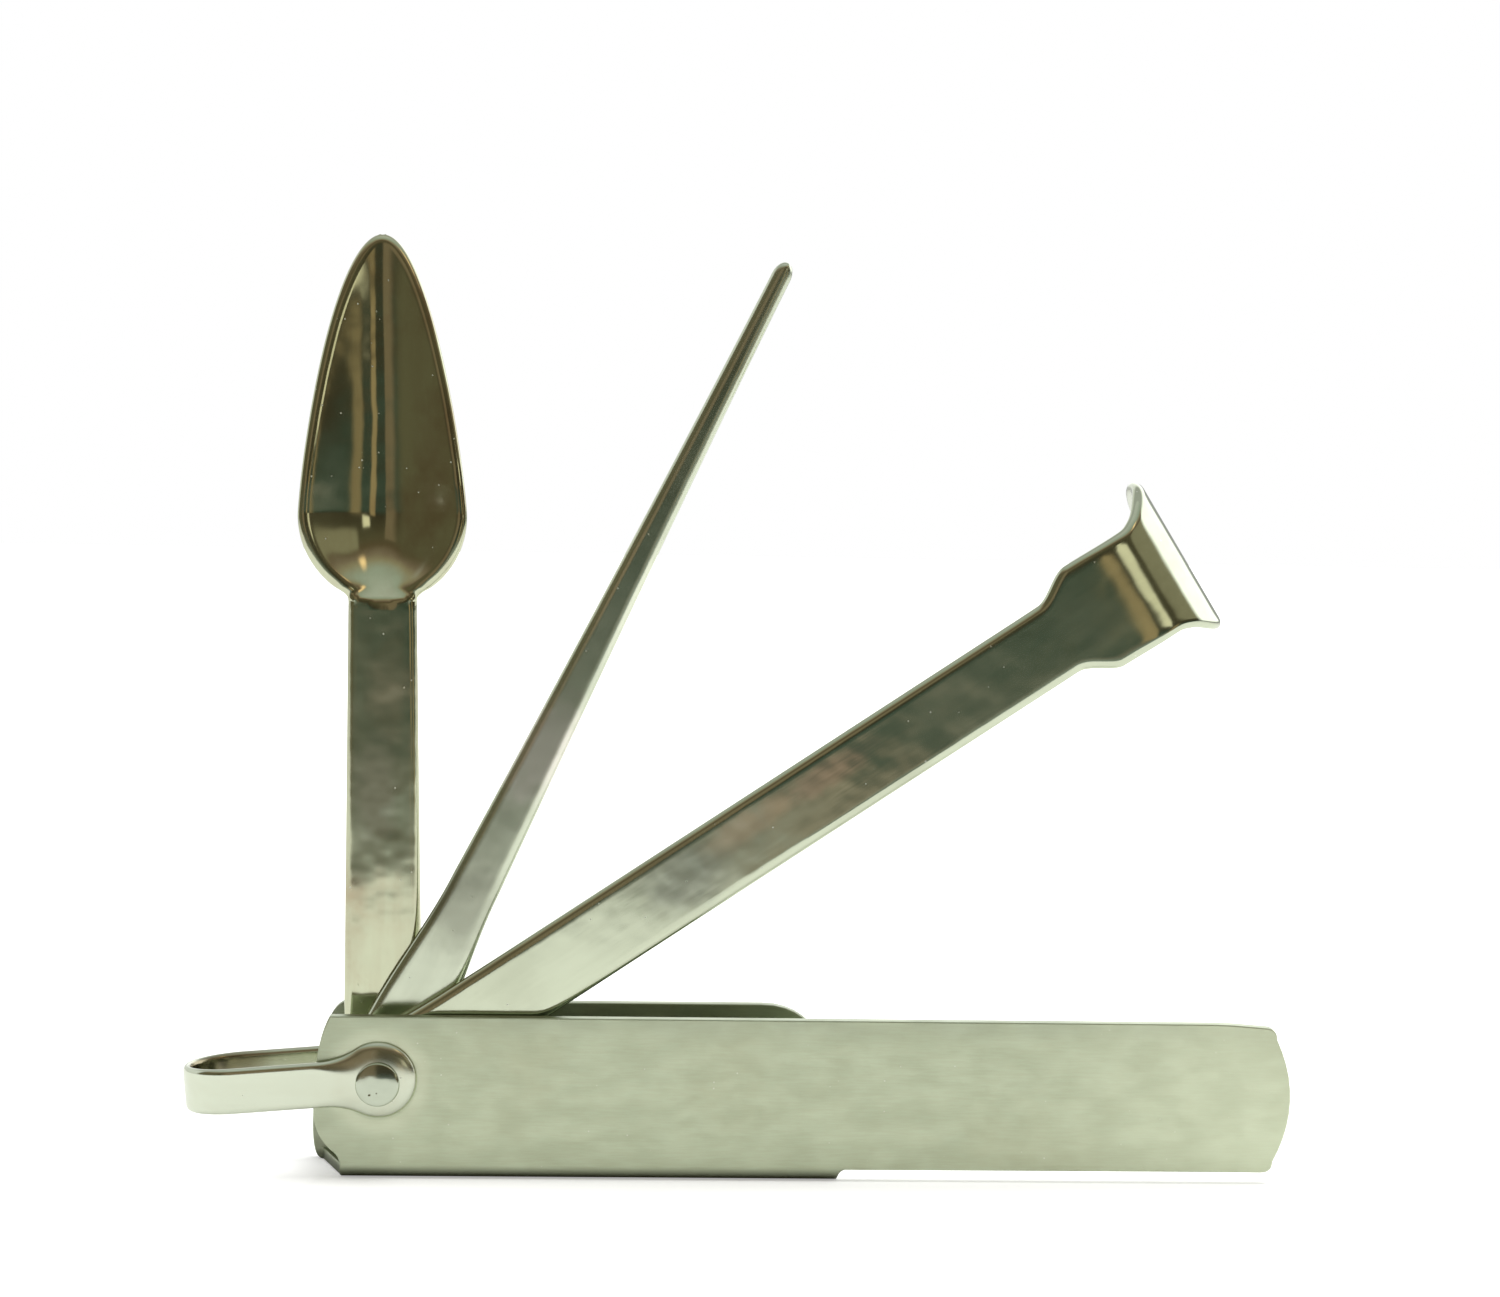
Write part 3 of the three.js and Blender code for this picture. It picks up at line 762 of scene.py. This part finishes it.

# %% [markdown]
# ## The room round the tool
#
# Bright metal shows what stands around it more than its own colour. Going by its reflections, the tool in the
# photograph stands on white paper that ends a little way in front of it, before a dark room. The sides and
# back are a guess. An image of a room would do, but a few soft shapes placed by direction alone are easier to
# read. A colour ramp over the elevation gives the room in front, and upright panels stand for the lit things
# in it, with colours tuned against the photograph. What the camera sees directly is white, by Is Camera Ray.

# %% Find azimuth and elevation
world = bpy.data.worlds.new("studio")
bpy.context.scene.world = world
tree = emptied(world)
to_degrees = 180 / math.pi
direction = add(tree, "ShaderNodeTexCoord").outputs["Generated"]
parts = add(tree, "ShaderNodeSeparateXYZ", ((0, direction),)).outputs
forwards = times(tree, parts[1], -1.0)
level = maths(tree, "SQRT", maths(tree, "SUBTRACT", 1.0, times(tree, parts[2], parts[2])))
ahead = maths(tree, "DIVIDE", forwards, maths(tree, "MAXIMUM", level, 0.001))
in_front = ramp(tree, ahead, 0.02, 0.22)
azimuth = times(tree, maths(tree, "ARCTAN2", parts[0], forwards), to_degrees)
elevation = times(tree, maths(tree, "ARCSINE", parts[2]), to_degrees)
print("azimuth 0 looks towards -Y, and grows towards +X")

# %% Colour the room in front by elevation
room_low, room_high = -15.0, 75.0
room_stops = (
    (-15.0, (0.28, 0.32, 0.29)),
    (-10.3, (0.25, 0.27, 0.24)),
    (-9.3, (0.22, 0.22, 0.19)),
    (-8.3, (0.20, 0.17, 0.13)),
    (-7.3, (0.10, 0.125, 0.10)),
    (-3.0, (0.052, 0.080, 0.062)),
    (2.0, (0.055, 0.047, 0.028)),
    (22.0, (0.11, 0.095, 0.055)),
    (30.0, (0.13, 0.095, 0.055)),
    (37.0, (0.25, 0.19, 0.14)),
    (43.0, (0.37, 0.32, 0.22)),
    (51.0, (0.42, 0.47, 0.42)),
    (75.0, (0.62, 0.64, 0.62)),
)
height_share = ramp(tree, elevation, room_low, room_high, kind="LINEAR")
room = add(tree, "ShaderNodeValToRGB", ((0, height_share),))
elements = room.color_ramp.elements
for number, (degrees, colour) in enumerate(room_stops):
    place = (degrees - room_low) / (room_high - room_low)
    stop = elements[number] if number < 2 else elements.new(place)
    stop.position, stop.color = place, rgb(*colour)
print("room:", len(elements), "colours from", room_low, "to", room_high, "degrees")

# %% Hang the panels and close the circle
def panel(tree, below, left, right, bottom, top, colour, soft, soft_right=None):
    """One soft-edged upright thing in the room, laid over what is there, by angle in degrees.
    soft is how far its left edge fades, and soft_right how far the three others do."""
    soft_right = soft if soft_right is None else soft_right
    mask = times(
        tree,
        ramp(tree, azimuth, left - soft, left + soft),
        ramp(tree, azimuth, right - soft_right, right + soft_right, 1.0, 0.0),
        ramp(tree, elevation, bottom - soft_right, bottom + soft_right),
        ramp(tree, elevation, top - soft_right, top + soft_right, 1.0, 0.0),
    )
    return mixed(tree, mask, below, rgb(*colour))


front = room.outputs[0]
panels = (
    (-95, -34, -30, 30, (0.14, 0.125, 0.075), 12.0),
    (-26, -6, -4, 25, (0.24, 0.185, 0.12), 8.0, 0.6),
    (2, 7.5, -10.8, -8.8, (0.44, 0.36, 0.28), 1.2),
    (13.2, 22.5, -7, 2.5, (0.42, 0.31, 0.17), 1.0),
    (38, 50, -25, 3, (0.30, 0.23, 0.13), 3.0),
    (24.5, 36, 4, 12, (1.0, 0.92, 0.68), 0.9),
    (45, 85, 13, 30, (0.30, 0.27, 0.18), 2.5),
    (36, 48, 38, 47, (1.5, 1.05, 0.6), 4.0),
)
for one in panels:
    front = panel(tree, front, *one)
to_right = ramp(tree, parts[0], -0.5, 0.5)
low = mixed(tree, to_right, rgb(0.75, 0.76, 0.74), rgb(0.30, 0.30, 0.31))
middle = mixed(tree, to_right, rgb(0.80, 0.81, 0.79), rgb(1.80, 1.80, 1.84))
around = mixed(tree, ramp(tree, elevation, -2.0, 5.0), low, middle)
around = mixed(tree, ramp(tree, elevation, 28.0, 48.0), around, rgb(0.50, 0.51, 0.50))
around = panel(tree, around, 140, 165, -4, 14, (0.40, 0.41, 0.40), 4.0)
seen = mixed(tree, in_front, around, front)
path = add(tree, "ShaderNodeLightPath").outputs
shown = mixed(tree, path["Is Camera Ray"], seen, rgb(1, 1, 1))
light = add(tree, "ShaderNodeBackground", (("Color", shown), ("Strength", 1.0)))
tree.links.new(light.outputs[0], add(tree, "ShaderNodeOutputWorld").inputs["Surface"])
print("world:", len(tree.nodes), "nodes")

# %% [markdown]
# ## Floor and lamp
#
# The floor is the white paper, and it catches the tool's shadow. Its own light, for the camera
# alone, grows with the distance, so that paper and background meet without a line. Past the
# paper's front edge the metal looks through the floor into the room. One wide soft lamp gives
# the contact shadow, and stays out of the reflections, where its disk would show in every rim.

# %% Lay the floor
floor_half = 0.7
paper_edge = -0.117
paper_white = 0.86
near_lift, far_lift = 0.36, 1.0
floor_mesh = bpy.data.meshes.new("floor")
corners = [(x * floor_half, y * floor_half, 0) for x, y in ((-1, -1), (1, -1), (1, 1), (-1, 1))]
floor_mesh.from_pydata(corners, [], [(0, 1, 2, 3)])
floor = new_object("floor", floor_mesh)
paper = bpy.data.materials.new("paper")
tree = emptied(paper)
path = add(tree, "ShaderNodeLightPath").outputs
place = add(tree, "ShaderNodeTexCoord").outputs["Object"]
depth = add(tree, "ShaderNodeSeparateXYZ", ((0, place),)).outputs[1]
white = add(tree, "ShaderNodeBsdfDiffuse", (("Color", rgb(paper_white, paper_white, paper_white)),))
behind = ramp(tree, depth, 0.02, 0.25, near_lift, far_lift)
before = ramp(tree, depth, -0.18, -0.35, near_lift, far_lift)
lift = times(tree, path["Is Camera Ray"], maths(tree, "MAXIMUM", behind, before))
glow = add(tree, "ShaderNodeEmission", (("Color", rgb(1, 1, 1)), ("Strength", lift)))
lit = add(tree, "ShaderNodeAddShader", ((0, white.outputs[0]), (1, glow.outputs[0])))
open_view = times(tree, path["Is Glossy Ray"], maths(tree, "LESS_THAN", depth, paper_edge))
clear = add(tree, "ShaderNodeBsdfTransparent").outputs[0]
look = add(tree, "ShaderNodeMixShader", ((0, open_view), (1, lit.outputs[0]), (2, clear))).outputs[0]
tree.links.new(look, add(tree, "ShaderNodeOutputMaterial").inputs["Surface"])
floor_mesh.materials.append(paper)
print("the paper ends", -paper_edge, "m in front of the rivet")

# %% Hang the lamp
lamp_data = bpy.data.lights.new("soft lamp", "AREA")
lamp_data.shape = "DISK"
lamp_data.size = 0.35
lamp_data.energy = 2.2
lamp = new_object("soft lamp", lamp_data)
lamp.location = (0.12, 0.04, 0.5)
lamp.rotation_euler = lamp.location.to_track_quat("Z", "Y").to_euler()
lamp.visible_glossy = False
print("lamp of", round(lamp_data.energy, 2), "W at", tuple(round(c, 2) for c in lamp.location))

# %% [markdown]
# ## Grain, hairlines and tarnish
#
# All pieces are steel with a warm green cast, and differ in how they were finished. The handle
# is satin, with a fine grain along it. The blades and the shackle are tumbled bright. Grain,
# hairlines and tarnish are node groups, because several finishes use them with other values.

# %% Helpers for the groups
def new_group(name, inputs, outputs):
    """An empty node group with named number inputs, a vector input and named outputs."""
    group = bpy.data.node_groups.new(name, "ShaderNodeTree")
    sockets = group.interface
    sockets.new_socket(name="Vector", in_out="INPUT", socket_type="NodeSocketVector")
    for label, value in inputs:
        socket = sockets.new_socket(name=label, in_out="INPUT", socket_type="NodeSocketFloat")
        socket.default_value = value
    for label in outputs:
        sockets.new_socket(name=label, in_out="OUTPUT", socket_type="NodeSocketFloat")
    return group, group.nodes.new("NodeGroupInput").outputs, group.nodes.new("NodeGroupOutput").inputs


def vector_maths(tree, operation, first, second):
    """The result of one Vector Math node."""
    return add(tree, "ShaderNodeVectorMath", ((0, first), (1, second)), operation=operation).outputs[0]


def stretched(tree, vector, x, y, z):
    """Coordinates scaled by a different number along each axis."""
    return vector_maths(tree, "MULTIPLY", vector, (x, y, z))


def noise(tree, vector, scale, detail=2.0, rough=0.5, output="Fac"):
    """A cloudy value, or a cloudy colour, at each place."""
    links = (("Vector", vector), ("Scale", scale), ("Detail", detail), ("Roughness", rough))
    return add(tree, "ShaderNodeTexNoise", links).outputs[output]


def cells(tree, vector, scale):
    """The outputs of a pattern of cells: how far the nearest centre is, and a colour for each."""
    return add(tree, "ShaderNodeTexVoronoi", (("Vector", vector), ("Scale", scale)), feature="F1").outputs


print("group helpers ready")

# %% Grain and its clouds
grain, given, gives = new_group("brushed grain", (("Scale", 1000.0),), ("Lines", "Clouds"))
drawn = stretched(grain, given["Vector"], 0.08, 1.0, 1.0)
grain.links.new(noise(grain, drawn, given["Scale"], 4.0, 0.7), gives["Lines"])
wide = stretched(grain, given["Vector"], 0.5, 1.0, 1.0)
grain.links.new(noise(grain, wide, times(grain, given["Scale"], 0.12), 3.0), gives["Clouds"])
print("grain:", len(grain.nodes), "nodes")

# %% Hairlines in three directions
hair_bend = 0.012
hair_turns = ((0.3, 12.0), (-0.5, 16.8), (1.2, 9.6))

hairs, given, gives = new_group("hairlines", (("Scale", 60.0), ("Amount", 0.5)), ("Mask",))
sway = noise(hairs, given["Vector"], 40.0, 1.0, output="Color")
sway = stretched(hairs, sway, hair_bend, hair_bend, hair_bend)
bent = vector_maths(hairs, "ADD", given["Vector"], sway)
total = None
for tilt, size in hair_turns:
    links = (("Vector", bent), ("Angle", tilt))
    tilted = add(hairs, "ShaderNodeVectorRotate", links, rotation_type="Y_AXIS").outputs[0]
    drawn = stretched(hairs, tilted, 0.03, 1.0, 1.0)
    away = cells(hairs, drawn, times(hairs, given["Scale"], size))["Distance"]
    line = ramp(hairs, away, 0.0, 0.035, 1.0, 0.0)
    total = line if total is None else maths(hairs, "MAXIMUM", total, line)
broken = ramp(hairs, noise(hairs, given["Vector"], 250.0, 2.0), 0.5, 0.66)
hairs.links.new(times(hairs, total, broken, given["Amount"]), gives["Mask"])
print("hairlines:", len(hairs.nodes), "nodes")

# %% Tarnish and specks
speck_share = 0.1

tarnish, given, gives = new_group("tarnish", (("Scale", 120.0),), ("Patches", "Specks"))
patch = ramp(tarnish, noise(tarnish, given["Vector"], given["Scale"], 5.0, 0.6), 0.5, 0.75)
tarnish.links.new(patch, gives["Patches"])
dots = cells(tarnish, given["Vector"], times(tarnish, given["Scale"], 14.0))
near = ramp(tarnish, dots["Distance"], 0.05, 0.16, 1.0, 0.0)
lot = add(tarnish, "ShaderNodeSeparateColor", ((0, dots["Color"]),)).outputs[0]
chosen = maths(tarnish, "GREATER_THAN", lot, 1 - speck_share)
tarnish.links.new(times(tarnish, near, chosen), gives["Specks"])
print("tarnish:", len(tarnish.nodes), "nodes, specks in", speck_share, "of the cells")

# %% [markdown]
# ## Wear, painted shade and painted reflections
#
# A real finish isn't even: the handle is darker along its top edge and at its left end, lighter at its right
# end, and bright where the shackle's eye rubs. Shade is painted dark into its lower bend, onto the inner face
# of its rear plate and inside the shackle's loop. The soft stains on the blades are partly tarnish and partly
# painted reflections, standing in for what the room doesn't give. Each mark is a mask over the piece's own
# coordinates in millimetres, so it stays in its place as a piece turns.

# %% Masks for wear
speck_colour, top_and_left_colour, right_end_colour = (0.85, 0.88, 0.78), (0.42, 0.47, 0.36), (0.80, 0.86, 0.64)
# the last two colours on the next line are painted shade: one for the handle's bend and rear plate, one for
# the inside of the loop
rubbed_colour, painted_shade_colour, loop_shade_colour = (0.82, 0.86, 0.66), (0.12, 0.13, 0.09), (0.30, 0.26, 0.16)


def measured(tree, vector):
    """The three coordinates of a vector, in millimetres."""
    return add(tree, "ShaderNodeSeparateXYZ", ((0, stretched(tree, vector, 1 / MM, 1 / MM, 1 / MM)),)).outputs


def with_tarnish_and_reflections(tree, vector, tint, tarnish_and_reflections):
    """Soft oval patches on a blade, partly tarnish and partly painted reflections, each at a place along and
    across it, with its two radii.
    """
    along, _, across = measured(tree, vector)
    ragged = times(tree, noise(tree, vector, 700.0, 4.0, 0.6), 0.9)
    for at_along, at_across, run, half, patch_colour in tarnish_and_reflections:
        u = maths(tree, "DIVIDE", maths(tree, "SUBTRACT", along, at_along), run)
        v = maths(tree, "DIVIDE", maths(tree, "SUBTRACT", across, at_across), half)
        away = maths(tree, "ADD", distance(tree, u, v), ragged)
        # each patch is partly tarnish and partly a painted reflection
        tint = mixed(tree, ramp(tree, away, 0.8, 1.6, 1.0, 0.0), tint, rgb(*patch_colour))
    return tint


def marked_and_shaded_handle(tree, vector, tint):
    """Marks on the handle: darker along the top edge and at the left end, lighter at the right end, a ring
    rubbed bright round the shackle's eye, and painted shade in the lower bend and on the inner face of the
    rear plate."""
    x, y, z = measured(tree, vector)
    from_rivet = distance(tree, x, maths(tree, "SUBTRACT", z, pivot.z))
    uneven = ramp(tree, noise(tree, vector, 260.0, 4.0, 0.6), 0.3, 0.7, 0.3, 1.0)
    # darker along the top edge and at the left end, lighter towards the right end
    top = times(tree, ramp(tree, z, 10.4, 12.7), uneven)
    left = times(tree, ramp(tree, x, 3.0, -5.0), 0.6)
    darker_top_and_left = times(tree, maths(tree, "MAXIMUM", top, left), 0.4)
    tint = mixed(tree, darker_top_and_left, tint, rgb(*top_and_left_colour))
    tint = mixed(tree, times(tree, ramp(tree, x, 45.0, 68.0), 0.45), tint, rgb(*right_end_colour))
    ring = times(tree, ramp(tree, from_rivet, 2.8, 3.1), ramp(tree, from_rivet, 3.3, 4.6, 1.0, 0.0))
    tint = mixed(tree, times(tree, ring, 0.4), tint, rgb(*rubbed_colour))
    # painted shade: a dark band along the lower bend, where the web is, stands for the contact shadow that
    # the bend reflects
    under = times(tree, ramp(tree, z, 0.35, 1.2, 1.0, 0.0), ramp(tree, x, 37.5, 39.0, 1.0, 0.0), 0.8)
    # painted shade on the inner face of the rear plate, between the two plates
    inside = times(tree, ramp(tree, y, 1.6, 1.9), ramp(tree, y, 2.4, 2.7, 1.0, 0.0), 0.3)
    return mixed(tree, maths(tree, "MAXIMUM", under, inside), tint, rgb(*painted_shade_colour))


def shaded_inside_loop(tree, vector, tint):
    """The inner side of the loop, within its middle line, takes painted shade, brown and strongest towards
    the round end.
    """
    x, y, _ = measured(tree, vector)
    past_arm = maths(tree, "MINIMUM", maths(tree, "ADD", x, arm_length), 0.0)
    round_x = maths(tree, "DIVIDE", past_arm, loop_half_x)
    round_y = maths(tree, "DIVIDE", y, arm_y)
    squares = maths(tree, "ADD", times(tree, round_x, round_x), times(tree, round_y, round_y))
    inside = ramp(tree, squares, 0.9, 1.0, 1.0, 0.0)
    ragged = maths(tree, "ADD", x, times(tree, noise(tree, vector, 400.0, 3.0), 3.0))
    # painted shade: darker and browner deeper in the loop, towards its round end
    brown = ramp(tree, ragged, -11.5, -6.0, 0.9, 0.15)
    return mixed(tree, times(tree, inside, brown), tint, rgb(*loop_shade_colour))


print("wear on the handle is measured from the rivet at", round(pivot.z, 2), "mm")

# %% [markdown]
# ## The metal itself
#
# A finish is one Principled shader. Its own numbers give the metal, and the groups vary colour,
# roughness and height over the surface. Each piece turns the pattern to its own length with a
# Mapping node, so that the grain runs along it. A long low swell under the fine marks bends the
# reflections a little, as hand-finished sheet does.

# %% One metal with many settings
mark_rough, fine_strength, fine_depth, swell_scale = 0.25, 0.35, 0.00002, 230.0


def placed_group(tree, group, vector, **values):
    """A group in a material, with its own values."""
    node = add(tree, "ShaderNodeGroup", node_tree=group)
    tree.links.new(vector, node.inputs["Vector"])
    for label, value in values.items():
        node.inputs[label].default_value = value
    return node.outputs


def metal(
    name, colour, shade, rough, rough_span, grain_scale=900, grain_depth=0.35, hair_amount=0.8, degrees=0.0,
    patchy=0.3, lines_share=0.16, specks=0.3, wave=0.0, wear_and_shade=None, tarnish_and_reflections=(),
):
    """A steel finish: colour and a darker shade, roughness and its span, grain and hairlines.
    degrees is the way the grain runs, and wave is the height of the swell in metres."""
    material = bpy.data.materials.new(name)
    tree = emptied(material)
    coordinates = add(tree, "ShaderNodeTexCoord").outputs["Object"]
    turn = (0, -math.radians(degrees), 0)
    links = (("Vector", coordinates), ("Location", tuple(pivot * MM)), ("Rotation", turn))
    laid_along = add(tree, "ShaderNodeMapping", links, vector_type="TEXTURE").outputs[0]
    lines = placed_group(tree, grain, laid_along, Scale=grain_scale)
    marks = placed_group(tree, hairs, laid_along, Amount=hair_amount)["Mask"]
    spots = placed_group(tree, tarnish, laid_along)
    tint = mixed(tree, times(tree, spots["Patches"], patchy), rgb(*colour), rgb(*shade))
    lined = times(tree, ramp(tree, lines["Lines"], 0.35, 0.65), lines_share)
    tint = mixed(tree, lined, tint, rgb(*shade))
    tint = mixed(tree, spots["Specks"], tint, rgb(*speck_colour))
    tint = with_tarnish_and_reflections(tree, laid_along, tint, tarnish_and_reflections)
    tint = tint if wear_and_shade is None else wear_and_shade(tree, coordinates, tint)
    roughness = ramp(tree, lines["Clouds"], 0.3, 0.7, rough - rough_span, rough + rough_span)
    roughness = maths(tree, "ADD", roughness, times(tree, marks, mark_rough))
    roughness = maths(tree, "ADD", roughness, times(tree, spots["Specks"], specks))
    height = maths(tree, "SUBTRACT", times(tree, lines["Lines"], grain_depth), marks)
    swell = noise(tree, laid_along, swell_scale, 2.0, 0.4)
    waves = add(tree, "ShaderNodeBump", (("Height", swell), ("Strength", 1.0), ("Distance", wave)))
    fine = (("Height", height), ("Strength", fine_strength), ("Distance", fine_depth))
    bump = add(tree, "ShaderNodeBump", (*fine, ("Normal", waves.outputs[0])))
    links = (("Base Color", tint), ("Roughness", roughness), ("Metallic", 1.0), ("Normal", bump.outputs[0]))
    shader = add(tree, "ShaderNodeBsdfPrincipled", links)
    tree.links.new(shader.outputs[0], add(tree, "ShaderNodeOutputMaterial").inputs["Surface"])
    return material


print("marks roughen the metal by", mark_rough)

# %% Stain the blades and paint reflections on them: place along, place across, two radii, colour
tamper_tarnish_and_reflections = (
    (41.2, 0.9, 5.0, 1.3, (0.78, 0.70, 0.55)),
    (33.9, 0.9, 5.5, 1.3, (0.78, 0.72, 0.54)),
    (28.0, 0.0, 4.0, 3.0, (0.50, 0.54, 0.43)),
)
pick_tarnish_and_reflections = (
    (42.0, 0.0, 7.0, 2.0, (0.76, 0.80, 0.64)),
    (28.0, 0.0, 5.5, 2.5, (0.84, 0.82, 0.72)),
    (14.5, 0.0, 4.5, 3.5, (0.48, 0.51, 0.40)),
)
spoon_tarnish_and_reflections = (
    (29.5, -0.4, 4.5, 1.8, (0.74, 0.69, 0.50)),
    (22.0, 0.5, 5.0, 2.0, (0.68, 0.67, 0.51)),
)
print("stains:", len(tamper_tarnish_and_reflections), len(pick_tarnish_and_reflections), len(spoon_tarnish_and_reflections))

# %% Finish every piece
finishes = {
    handle: metal(
        "satin sheet", (0.61, 0.68, 0.50), (0.52, 0.53, 0.36), 0.42, 0.05,
        grain_scale=5500, grain_depth=0.8, hair_amount=0.6, lines_share=0.3, wear_and_shade=marked_and_shaded_handle,
    ),
    tamper: metal(
        "bright tamper", (0.62, 0.67, 0.51), (0.42, 0.44, 0.32), 0.11, 0.04,
        degrees=tamper_angle, wave=0.00006, tarnish_and_reflections=tamper_tarnish_and_reflections,
    ),
    pick: metal(
        "bright pick", (0.66, 0.71, 0.56), (0.44, 0.46, 0.34), 0.20, 0.04,
        degrees=pick_angle, wave=0.00005, tarnish_and_reflections=pick_tarnish_and_reflections,
    ),
    spoon: metal(
        "bright spoon", (0.60, 0.63, 0.45), (0.44, 0.36, 0.24), 0.115, 0.035,
        grain_depth=0.3, hair_amount=1.0, degrees=spoon_angle, patchy=0.8, specks=0.6,
        wave=0.0001, tarnish_and_reflections=spoon_tarnish_and_reflections,
    ),
    shackle: metal(
        "bright strap", (0.70, 0.75, 0.61), (0.58, 0.58, 0.44), 0.17, 0.05,
        grain_depth=0.3, hair_amount=0.7, patchy=0.6, wave=0.00004, wear_and_shade=shaded_inside_loop,
    ),
    rivet: metal("hammered rivet", (0.56, 0.61, 0.49), (0.40, 0.44, 0.34), 0.09, 0.03, grain_depth=0.4),
}
washer_finish = metal(
    "washer steel", (0.5, 0.52, 0.42), (0.3, 0.3, 0.24), 0.35, 0.05,
    grain_scale=1200, grain_depth=0.6, hair_amount=0.4,
)
finishes.update({washer: washer_finish for washer in washers})
for piece, finish in finishes.items():
    piece.data.materials.clear()
    piece.data.materials.append(finish)
print("finishes:", sorted({finish.name for finish in finishes.values()}))

# %% [markdown]
# ## Say what each piece stands for
#
# Each piece hides its plain solid and moves with that solid's body.

# %% Tie the pieces to the imported model
stands_for = [
    (handle, "handle", "frame", "sheet_steel"),
    (tamper, "tamper", "tamper_blade", "bright_steel"),
    (pick, "pick", "pick_blade", "bright_steel"),
    (spoon, "spoon", "spoon_blade", "bright_steel"),
    (shackle, "shackle", "ring_shackle", "strap_steel"),
    (rivet, "rivet", "frame", "rivet_steel"),
]
stands_for += [(washer, node, "frame", "washer_steel") for washer, node in zip(washers, washer_names)]
for piece, node, body, slot in stands_for:
    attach(piece, body)
    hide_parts(node)
    print(f"{piece.name} stands for {node} on {body}")
